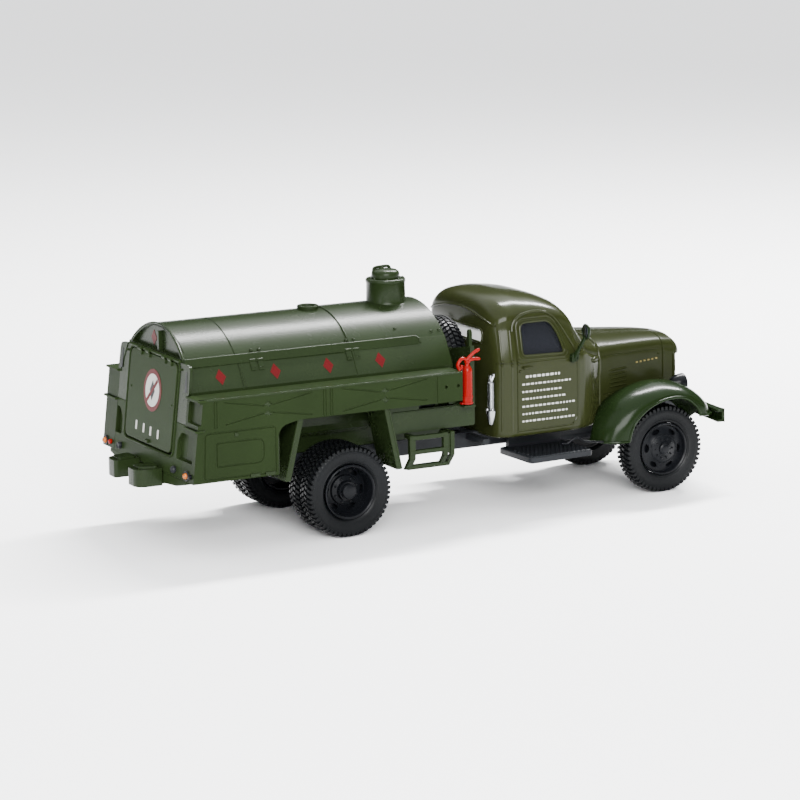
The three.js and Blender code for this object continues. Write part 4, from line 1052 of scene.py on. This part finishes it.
def side_panels():
    outline = [(tail_x(12.8), 12.8), (-34.3, 12.8), (-34.25, 19.2), (-34.0, 20.0), (-33.55, 20.55),
               (-32.9, 20.95), (-32.1, 21.15), (-31.0, 21.35), (-29.8, 21.5), (LOCKER_FRONT, 21.5),
               (LOCKER_FRONT, LEDGE_Z), (tail_x(LEDGE_Z), LEDGE_Z)]
    shape = Shape().prism(outline, "y", FACE, -13.75)
    cutter = Shape()
    for line in (
        [(-44.25, 25.87), (-37.15, 24.62)], [(-35.6, 24.65), (-28.45, 25.98)],
        [(-44.03, 22.19), (-37.2, 23.37)], [(-35.6, 23.40), (-28.53, 22.29)],
        [(-23.09, 26.02), (-15.9, 24.71)], [(-14.2, 24.80), (-7.20, 26.03)],
        [(-22.83, 22.21), (-15.9, 23.38)], [(-14.2, 23.50), (-7.24, 22.42)],
    ):
        cutter.join(engraved(line))
    for x in (-46.0, -45.55, -26.45, -26.0, -25.2, -24.8, -5.3):
        cutter.join(engraved([(x, 21.75), (x, 26.15)]))
    door = rounded([(-48.0, 13.45), (-35.2, 13.45), (-35.2, 21.0), (-47.7, 21.0)], [0.4, 0.4, 0.6, 0.8])
    cutter.join(engraved(door, 0.16, True))
    inner = rounded([(-45.7, 15.4), (-37.35, 15.4), (-37.35, 19.3), (-45.7, 19.3)], [0.2, 1.2, 1.2, 0.2])
    cutter.join(engraved(inner, 0.14, True))
    for x in (-3.6, -1.3):
        cutter.turned([(0, -0.5), (0.3, -0.5), (0.3, 0.5), (0, 0.5)], "right", (x + 0.39, FACE, 24.1), 14)
    niche = rounded([(-14.5, 22.3), (-19.5, 22.3), (-19.5, 25.8), (-14.5, 25.8)], [0.5, 0, 0, 0.5])
    tail_slab(cutter, niche, -0.5, 3)
    low = rounded([(-13.0, 15.9), (-17.4, 15.9), (-17.5, 20.3), (-13.0, 20.3)], [0, 0.3, 0.4, 0])
    tail_slab(cutter, low, -0.7, 3)
    pair("locker_side", shape, LOCKER_LIT_PAINT, "body_green", "side_locker", cut=cutter, bevel=0.12, angle=30)

    trim = Shape()
    trim.box(-48.2, LOCKER_FRONT, FACE - 0.12, FACE + 0.5, LEDGE_Z - 0.25, LEDGE_Z + 0.05)
    trim.box(-48.9, -47.4, FACE - 0.2, -14.6, 21.2, 21.55)
    for x in (-39.2, -36.5):
        trim.box(x - 0.25, x + 1.5, FACE - 0.18, FACE + 0.2, 12.95, 13.5)
    lock = [(0, -0.2), (0.42, -0.2), (0.42, 0.1), (0.3, 0.24), (0, 0.26)]
    trim.turned(lock, "right", (-41.8, FACE, 20.3), 16)
    for x in (-36.0, -14.65):
        for z in (24.68, 23.15):
            base = [(x - 0.78, z), (x, z - 0.56), (x + 0.78, z), (x, z + 0.56)]
            peak = [(x + (u - x) * 0.45, z + (v - z) * 0.45) for u, v in base]
            trim.loft([[(u, FACE + 0.1, v) for u, v in base], [(u, FACE, v) for u, v in base],
                       [(u, FACE - 0.2, v) for u, v in peak]])
    edge = [(CABINET_FRONT - 0.02, FACE + 0.05, 12.95), (CABINET_FRONT + 0.03, FACE + 0.05, 19.15)]
    trim.tube(edge, 0.14, 6)
    pair("locker_trim", trim, BODY_PAINT, "body_green", bevel=0.06)


side_panels()


def middle_cabinet():
    outline = [(tail_x(12.8), 12.8), (-47.0, 12.8), (-47.0, 13.4), (CABINET_FRONT, 13.4),
               (CABINET_FRONT, 21.5), (tail_x(21.65), 21.65)]
    shape = Shape().prism(outline, "y", -13.75, 13.75)
    cutter = Shape().prism(rectangle(-9.7, 15.9, 9.7, 31.2), "x", -60, -47.9)
    for sign in (-1, 1):
        low = rounded([(sign * 11.3, 15.9), (sign * 15.0, 15.9), (sign * 15.0, 20.3), (sign * 12.6, 20.3),
                       (sign * 11.3, 18.8)], [0.4, 0, 0, 0.5, 0.5])
        tail_slab(cutter, low if sign < 0 else low[::-1], -0.7, 3)
    piece("cabinet_middle", shape, TAIL_LIT_PAINT, "body_green", replaces=("rear_cabinet",), cut=cutter,
          bevel=0.08)

    door = Shape()
    edge = rounded([(-9.3, 16.2), (9.3, 16.2), (9.4, 31.0), (-9.4, 31.0)], [1.3, 1.3, 1.6, 1.6])
    tail_slab(door, edge, -1.1, 0.22)
    tail_slab(door, rounded([(-0.7, 16.5), (0.5, 16.5), (0.5, 17.0), (-0.7, 17.0)], 0.15), 0.2, 0.6)
    piece("tail_door", door, TAIL_LIT_PAINT, "body_green", replaces=("rear_door",), bevel=0.16, segments=3)

    trim = Shape()
    frame_line = rounded([(-9.95, 15.7), (9.95, 15.7), (10.0, 31.2), (-10.0, 31.2)], 1.4)
    trim.tube([(tail_x(z, 0.02), y, z) for y, z in frame_line], 0.2, 8, closed=True)
    trim.tube([(tail_x(31.45, 0.2), y, 31.45) for y in (-10.3, 10.0)], 0.28, 10)
    for y0, y1 in ((4.6, 6.0), (1.4, 2.8), (-5.0, -3.7), (-7.4, -6.1)):
        trim.tube([(tail_x(31.4, 0.28), y0, 31.35), (tail_x(31.4, 0.28), y1, 31.35)], 0.46, 12)
        tail_slab(trim, rectangle(y0, 30.3, y1, 31.4), 0.1, 0.5)
    for sign in (-1, 1):
        for z in (21.35, 26.25):
            lip = [(13.9, z + 0.2), (18.75, z + 0.2), (18.9, z - 0.15), (13.9, z - 0.15)]
            tail_slab(trim, [(sign * y, w) for y, w in lip], -1.0, 0.45)
        arm = [(6.4, 12.75), (15.5, 12.75), (15.5, 12.2), (12.0, 11.4), (6.4, 10.9)]
        tail_slab(trim, [(sign * y, z) for y, z in arm], -1.4, -0.1)
    for y, z in ((-8.3, 24.0), (8.2, 24.6), (10.9, 30.2), (-10.7, 30.2)):
        spot = (tail_x(z, 0.2), y, z)
        trim.turned([(0, -0.2), (0.2, -0.2), (0.2, 0.06), (0.1, 0.14), (0, 0.15)], "back", spot, 12)
    piece("tail_frame", trim, TAIL_LIT_PAINT, "body_green", bevel=0.05, angle=34)

    # The marker is outside the lamp on the right and inside it on the left.
    for name, sign, lamp_y, marker_y, finish in (("right", -1, -15.9, -17.4, (WHEEL_BLACK, "black")),
                                                 ("left", 1, 17.3, 15.2, (RED, "red"))):
        lens = [(0, -0.1), (0.5, -0.1), (0.5, 0.3), (0.4, 0.55), (0.24, 0.68), (0, 0.72)]
        lamp = Shape().turned(lens, "back", (tail_x(13.8), lamp_y, 13.8), 32)
        piece(f"tail_lamp_lens_{name}", lamp, AMBER, "amber", replaces=(f"tail_lamp_{name}",), bevel=0.03)
        socket = Shape()
        socket.turned([(0, -0.1), (0.5, -0.1), (0.62, 0.3), (0.5, 0.62), (0.3, 0.5), (0, 0.5)], "back",
                      (tail_x(14.0), sign * 11.1, 14.0), 28)
        socket.turned([(0.6, -0.1), (0.85, -0.1), (0.85, 0.22), (0.6, 0.22), (0.6, -0.1)], "back",
                      (tail_x(13.8), lamp_y, 13.8), 32)
        piece(f"tail_lamp_sockets_{name}", socket, BLACK, "black", bevel=0.03)
        marker = Shape().turned([(0, -0.1), (0.42, -0.1), (0.42, 0.3), (0.25, 0.5), (0, 0.54)], "back",
                                (tail_x(13.9), marker_y, 13.9), 24)
        piece(f"tail_marker_{name}", marker, *finish, bevel=0.03)


middle_cabinet()


def blocks():
    shape = Shape()
    plan = rounded([(-49.75, -6.7), (-49.75, -2.5), (-54.2, -2.5), (-54.2, -6.7)], [0.1, 0.1, 0.7, 2.4], 10)
    shape.prism(plan, "z", 10.5, 13.4)
    for k in range(9):
        turn = math.radians(-5 + 12.5 * k)
        x, y = -51.85 - 2.25 * math.cos(turn), -4.4 - 2.2 * math.sin(turn)
        shape.tube([(x, y, 10.75), (x, y, 13.2)], 0.14, 6)
    shape.box(-50.0, -47.8, -6.0, -3.0, 10.6, 12.6)
    shape.prism(rounded([(-50.2, -6.3), (-50.2, -2.9), (-53.4, -2.9), (-53.4, -5.6)], 0.6), "z", 13.3, 13.75)
    pair("buffer_block", shape, BODY_PAINT, "body_green", "bumper_block", bevel=0.1)
    hook = Shape().tube([(-50.9, 0, 11.6), (-47.6, 0, 11.6)], 0.5, 14)
    ring = [(-51.7 + 0.85 * math.cos(a), 0.85 * math.sin(a), 11.6) for a in around(28)]
    hook.tube(ring, 0.3, 10, closed=True)
    hook.turned([(0, 0), (0.8, 0), (0.8, 0.35), (0, 0.35)], "back", (-49.0, 0, 11.6), 6)
    piece("tow_eye", hook, BLACK, "black", replaces=("tow_hook",), bevel=0.05)


blocks()


def marks():
    """Plain signs: red diamonds, a ring with a bar across a lozenge, and rows of short white dashes."""
    red = Shape()
    for x, lift in ((-41.6, 0.0), (-31.75, 0.0), (-22.1, 0.0), (-12.5, 0.13)):
        corners = [(x - 0.95, 28.7), (x, 29.9), (x + 0.95, 28.7), (x, 27.5)]
        red.loft([[(u, slant_y(v, out), v) for u, v in corners] for out in (lift - 0.05, lift + 0.045)])
    red.both()
    diamond = [(1.3, 33.45), (2.4, 34.75), (3.5, 33.45), (2.4, 32.15)]
    red.loft([[(TANK_REAR + 0.85 + out, y, z) for y, z in diamond] for out in (0.05, -0.06)])
    centre = Vector((-0.45, 25.2))

    def disc(radius):
        return [(centre.x + radius * math.cos(a), centre.y + radius * math.sin(a)) for a in around(48)]

    tail_slab(red, disc(3.5), 0.1, 0.265)
    slash = [(-2.1, 1.65), (-1.65, 2.1), (2.1, -1.65), (1.65, -2.1)]
    tail_slab(red, [(centre.x + a, centre.y + b) for a, b in slash], 0.27, 0.315)
    piece("red_marks", red, RED_MARK, "mark_red", angle=20)
    white = Shape()
    tail_slab(white, disc(2.72), 0.1, 0.28)
    for k, y in enumerate((4.9, 1.9, -0.9, -3.9)):
        z = 18.6 - 0.05 * k
        tail_slab(white, rounded(rectangle(y - 0.3, z - 0.75, y + 0.3, z + 0.75), 0.15), 0.1, 0.26)
    for z, start, length in ((23.15, 15.0, 7.2), (21.85, 14.3, 9.7), (20.55, 14.3, 8.2), (19.3, 14.3, 8.7),
                             (18.0, 14.3, 10.4), (16.7, 14.3, 9.2), (15.45, 14.3, 10.5)):
        x = start
        while x < start + length - 0.3:
            long = rng.choice((0.35, 0.5, 0.62))
            end = min(x + long, start + length)
            heavy = 0.20 if z > 23 else 0.15
            front = [on_side(CAB_TREE, u, z + w) for u, w in rectangle(x, -heavy, end, heavy)]
            white.loft([[(p.x, p.y + 0.05, p.z) for p in front], [(p.x, p.y - 0.05, p.z) for p in front]])
            x = end + 0.27
    piece("white_marks", white, WHITE_MARK, "mark_white", angle=20)
    black = Shape()
    lozenge = [(0, -1.7), (1.0, 0), (0, 1.7), (-1.0, 0)]
    tail_slab(black, [(centre.x + a, centre.y + b) for a, b in lozenge], 0.2, 0.295)
    piece("roundel_lozenge", black, BLACK, "black", angle=20)


marks()


# ---- steps, extinguishers, nozzle, mirrors and running boards ----
def ladders():
    """A step frame under each side, with two rungs."""
    shape = Shape()
    out_y = -17.1
    for x, half in ((-9.0, 0.55), (-2.75, 0.42), (-1.45, 0.38)):
        side = [(-15.6, 16.2), (out_y - 0.35, 16.2), (out_y - 0.35, 12.2), (out_y + 1.5, 10.1),
                (out_y + 2.3, 10.1), (out_y + 0.5, 12.3), (out_y + 0.5, 15.5), (-15.6, 15.5)]
        shape.prism(side, "x", x - half, x + half)
    for z in (15.75, 13.3):
        shape.box(-9.5, -2.4, out_y - 0.4, out_y + 0.4, z - 0.36, z + 0.36)
    shape.box(-2.9, -1.2, out_y - 0.1, out_y + 0.45, 12.5, 15.9)
    shape.box(-9.3, -1.3, out_y + 1.1, out_y + 2.1, 10.1, 10.85)
    for x in (-9.2, -1.7):
        shape.box(x, x + 0.7, -17.0, -14.6, 15.5, 16.15)
    pair("ladder_frame", shape, BODY_PAINT, "body_green", "ladder", bevel=0.08)


def extinguishers():
    at = (1.95, -16.45, 20.4)
    shape = Shape()
    shape.turned([(0, 0), (0.84, 0), (0.9, 0.12), (0.86, 0.3), (0.86, 5.5), (0.78, 6.0), (0.5, 6.4),
                  (0.4, 6.55), (0.4, 6.9), (0.5, 7.0), (0.5, 7.35), (0.3, 7.5), (0, 7.5)], "z", at, 40)
    for z, high in ((0.0, 0.28), (1.1, 0.22)):
        shape.turned([(0.84, z), (0.98, z), (0.98, z + high), (0.84, z + high), (0.84, z)], "z", at, 40)
    shape.box(0.7, 2.2, -16.8, -16.1, 20.4, 20.65)
    lever = [(1.7, -16.45, 27.6), (2.3, -16.6, 28.3), (3.2, -16.7, 29.05), (4.2, -16.8, 29.55)]
    shape.tube(spline(lever, 12), [0.3] * 5 + [0.27] * 4 + [0.3, 0.3, 0.26, 0.1], 10)
    handle = [(1.8, -16.45, 27.4), (2.5, -16.6, 27.85), (3.3, -16.7, 27.95), (4.3, -16.8, 27.85)]
    shape.tube(spline(handle, 12), [0.28] * 9 + [0.3, 0.3, 0.26, 0.1], 10)
    shape.tube(spline([(2.0, -16.5, 27.6), (1.2, -16.7, 28.2), (0.4, -16.9, 28.0), (-0.1, -16.95, 27.2),
                       (0.15, -16.9, 26.5), (0.6, -16.8, 26.6), (0.85, -16.7, 27.1)], 36), 0.28, 10)
    pair("extinguisher_body", shape, RED, "red", "extinguisher", bevel=0.04, angle=40)


def nozzle():
    x, y = 8.95, -12.1
    shape = Shape()
    shape.turned([(0, 15.2), (0.3, 15.25), (0.46, 15.55), (0.72, 16.7), (0.82, 17.4), (0.82, 17.7),
                  (0.55, 17.8), (0, 17.8)], "z", (x, y, 0), 32)
    for turn in around(3, 0.4):
        spot = (x + 0.62 * math.cos(turn), y + 0.62 * math.sin(turn), 17.75)
        shape.turned([(0, -0.15), (0.24, -0.15), (0.24, 0.25), (0.14, 0.38), (0, 0.4)], "z", spot, 12)
    shape.turned([(0, 17.7), (0.36, 17.7), (0.36, 18.2), (0, 18.2)], "z", (x, y, 0), 24)
    grip = []
    for z in evenly(18.1, 0.175, 26):
        grip += [(0.56, z), (0.64, z + 0.06), (0.56, z + 0.12)]
    shape.turned([(0, 18.05)] + grip + [(0.4, 22.7), (0, 22.75)], "z", (x, y, 0), 32)
    shape.tube(spline([(x, y, 22.5), (x + 0.15, y, 23.0), (x + 0.45, y, 23.5), (x + 0.55, y, 24.0)], 10),
               0.26, 10)
    shape.tube(spline([(x + 0.1, y, 22.8), (x - 0.15, y, 23.3), (x - 0.1, y, 23.8)], 8), 0.22, 10)
    shape.box(x - 0.2, x + 0.5, y + 0.2, y + 0.7, 22.6, 23.1)
    piece("nozzle_body", shape, STEEL, "steel", replaces=("fuel_nozzle",), bevel=0.03, angle=40)


def mirror_disc(profile):
    """A disc turned from a profile, stretched to an oval and set at the end of the right-hand mirror arm."""
    disc = Shape().turned(profile, "x", (0, 0, 0), 36)
    return Shape().add([(x + 25.45, y * 1.05 - 16.05, z * 1.26 + 30.35) for x, y, z in disc.verts],
                       disc.faces)


def mirrors():
    arm = Shape()
    stalk = [(24.35, -13.9, 25.4), (24.45, -14.7, 26.6), (24.9, -15.5, 28.2), (25.4, -15.95, 29.6)]
    arm.tube(spline(stalk, 14), [0.62] * 3 + [0.5] * 3 + [0.36] * 9, 10, squash=0.7)
    arm.prism(rounded([(23.6, 24.8), (25.0, 25.2), (25.1, 26.5), (23.7, 26.3)], 0.4), "y", -14.4, -13.5)
    head = [(0, 0.5), (0.55, 0.46), (0.95, 0.3), (1.12, 0.0), (1.1, -0.22), (0.98, -0.3), (0.95, -0.2),
            (0, -0.2)]
    pair("mirror_arm", arm.join(mirror_disc(head)), FENDER_PAINT, "fender_green", "mirror", bevel=0.04,
         angle=40)
    glass = mirror_disc([(0, -0.26), (0.9, -0.24), (0.96, -0.2), (0.9, -0.1), (0, -0.1)])
    pair("mirror_pane", glass, MIRROR, "mirror_face", bevel=0.02, angle=40)


def running_boards():
    shape = Shape()
    plan = rounded([(13.7, -17.4), (26.4, -16.7), (26.4, -6.3), (13.3, -6.3)], [0.9, 0.8, 0.2, 1.6], 8)
    shape.prism(plan, "z", 8.8, 9.75)
    shape.box(15.0, 25.4, -7.4, -6.3, 9.6, 12.4)
    for k in range(-5, 18):
        x = 14.1 + 0.82 * k
        a = Vector((x, -16.9, 9.78))
        b = Vector((x + 4.4, -9.2, 9.78))
        kept = [p for p in [a + (b - a) * j / 20 for j in range(21)] if 14.2 < p.x < 25.9]
        if len(kept) > 2:
            shape.tube([kept[0], kept[-1]], 0.24, 6)
    shape.tube([(14.1, -17.1, 9.75), (26.0, -16.45, 9.75)], 0.22, 8)
    shape.tube([(14.0, -17.0, 9.75), (13.6, -8.0, 9.75)], 0.22, 8)
    pair("running_board_tread", shape, BLACK, "black", "running_board", bevel=0.08)
    brace = Shape()
    brace.tube(spline([(21.2, -14.9, 11.1), (22.1, -15.1, 11.0), (23.0, -15.2, 11.5), (24.0, -15.3, 11.9),
                       (25.4, -15.4, 11.2), (27.0, -15.6, 10.9), (29.0, -15.8, 10.7)], 24), 0.2, 8)
    pair("step_brace", brace, WHEEL_BLACK, "black", bevel=0.03)


ladders()
extinguishers()
nozzle()
mirrors()
running_boards()


# ---- nodes shown as packed, with softened edges ----
def dress(names, look, edge):
    """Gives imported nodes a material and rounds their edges."""
    for name in names:
        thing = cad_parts[name]
        thing.data.materials.clear()
        thing.data.materials.append(look)
        soften(thing, edge)


dress(["chassis_frame"], BLACK, 0.08)
dress(["front_axle", "rear_axle", "base_screw_front", "base_screw_rear"], STEEL, 0.05)
dress(["seat", "dashboard", "steering_wheel"], TRIM, 0.12)
dress(["mudguard_rear_right", "mudguard_rear_left", "mudguard_front_right", "mudguard_front_left",
       "valve_locker"], BODY_PAINT, 0.12)


def carrier():
    half = [(0, 16.5), (0, 28.4), (-8.1, 28.4), (-15.2, 29.9), (-15.2, 16.5)]
    shape = Shape().prism(half, "x", 3.25, 4.05).prism([(-y, z) for y, z in reversed(half)], "x", 3.25, 4.05)
    shape.box(3.3, 7.35, -9.0, 9.0, 18.6, 27.3)
    cutter = Shape().turned([(0, -4), (7.95, -4), (7.95, 4), (0, 4)], "x", SPARE, 64)
    cutter.box(2, 8.6, -7.95, 7.95, SPARE[2], 33)
    piece("carrier_cradle", shape, BODY_PAINT, "body_green", replaces=("spare_carrier",), cut=cutter,
          bevel=0.1)
    wing = Shape()
    outline = [(-9.4, 24.6), (-10.3, 24.6), (-10.3, 31.1), (-10.15, 31.55), (-9.85, 31.75), (-9.55, 31.55),
               (-9.4, 31.1)]
    wing.prism(outline, "x", 5.8, 6.4)
    wing.box(3.8, 6.5, -9.7, -8.8, 24.6, 27.25)
    pair("carrier_post", wing, BODY_PAINT, "body_green", bevel=0.12, segments=3)
    feet = Shape().box(4.6, 7.3, -4.2, 4.2, 13.15, 18.8)
    piece("carrier_foot", feet, BLACK, "black", bevel=0.1)


carrier()


def small_parts():
    pipes = Shape()
    pipes.tube([(-6.3, -14.2, 20.65), (-3.2, -14.2, 20.65)], 0.42, 16)
    pipes.turned([(0, 0), (0.62, 0), (0.62, 0.5), (0, 0.5)], "x", (-6.5, -14.2, 20.65), 20)
    pipes.box(-29.6, -28.9, -8.9, -8.2, 18.9, 20.1)
    pair("under_fittings", pipes, BLACK, "black", bevel=0.06)
    green = Shape()
    green.tube([(-3.1, -14.3, 20.75), (-0.6, -14.3, 20.75)], 0.5, 16)
    green.turned([(0, 0), (0.7, 0), (0.7, 0.6), (0, 0.6)], "x", (-3.4, -14.3, 20.75), 20)
    green.box(-0.9, 0.4, -15.2, -13.7, 20.35, 21.2)
    green.tube([(-11.8, -15.55, 20.0), (3.5, -15.55, 20.0)], 0.12, 6)
    for top, foot in (((-30.4, 21.35), (-32.9, 11.4)), ((-13.7, 21.35), (-11.55, 11.1))):
        green.tube([(top[0], -18.05, top[1]), (foot[0], -18.05, foot[1])], 0.2, 6)
    green.tube([(-13.7, -11.3, 21.3), (-11.55, -11.3, 11.2)], 0.2, 6)
    pair("green_fittings", green, BODY_PAINT, "body_green", bevel=0.05)


small_parts()

# ---- floor and light ----
FLOOR_HALF = 4
FLOOR_COLOUR = (0.88, 0.88, 0.885, 1)
SKY_STRENGTH = 3.2
SKY = ((0.0, 1.0), (0.045, 1.0), (0.065, 0.015), (0.45, 0.02), (0.62, 0.9), (1.0, 1.0))
# Name, place, target, the direction of its long side, size in metres, watts.
LIGHTS = (
    ("overhead", (215, 150, 365), (0, 0, 15), (1, 0, 0), (0.30, 0.045), 8.5),
    ("key", (-156, -447, 218), (0, 0, 15), (1, 0, 0), (0.32, 0.20), 6.5),
    ("rear_left", (-420, -230, 85), (0, 0, 18), (0, 0, 1), (0.17, 0.09), 0.5),
)


def softbox(name, place, target, along, size, power):
    """A rectangular light that faces its target."""
    data = bpy.data.lights.new(name, "AREA")
    data.shape = "RECTANGLE"
    data.size, data.size_y = size
    data.energy = power
    lamp = bpy.data.objects.new(name, data)
    lamp.location = Vector(place) * MM
    back = (lamp.location - Vector(target) * MM).normalized()
    across = (Vector(along) - back * back.dot(Vector(along))).normalized()
    lamp.rotation_euler = Matrix((across, back.cross(across), back)).transposed().to_euler()
    bpy.context.scene.collection.objects.link(lamp)


def stage():
    """A pale floor, a studio sky that is bright near the horizon and overhead, and three lights."""
    look = bpy.data.materials.new("floor")
    look.use_nodes = True
    shader = look.node_tree.nodes["Principled BSDF"]
    shader.inputs["Base Color"].default_value = FLOOR_COLOUR
    shader.inputs["Roughness"].default_value = 0.9
    shader.inputs["Specular IOR Level"].default_value = 0.1
    mesh = bpy.data.meshes.new("floor")
    corners = rectangle(-FLOOR_HALF, -FLOOR_HALF, FLOOR_HALF, FLOOR_HALF)
    mesh.from_pydata([(x, y, 0) for x, y in corners], [], [(0, 1, 2, 3)])
    floor = bpy.data.objects.new("floor", mesh)
    floor.data.materials.append(look)
    bpy.context.scene.collection.objects.link(floor)

    world = bpy.data.worlds.new("studio")
    world.use_nodes = True
    nodes, links = world.node_tree.nodes, world.node_tree.links
    sky = nodes.new("ShaderNodeTexCoord")
    height = nodes.new("ShaderNodeSeparateXYZ")
    ramp = nodes.new("ShaderNodeValToRGB")
    links.new(sky.outputs["Generated"], height.inputs[0])
    links.new(height.outputs["Z"], ramp.inputs["Fac"])
    links.new(ramp.outputs["Color"], nodes["Background"].inputs["Color"])
    for k, (place, grey) in enumerate(SKY):
        stop = ramp.color_ramp.elements[k] if k < 2 else ramp.color_ramp.elements.new(place)
        stop.position = place
        stop.color = (grey * 0.98, grey * 0.99, grey, 1)
    nodes["Background"].inputs["Strength"].default_value = SKY_STRENGTH
    bpy.context.scene.world = world
    for light in LIGHTS:
        softbox(*light)


stage()
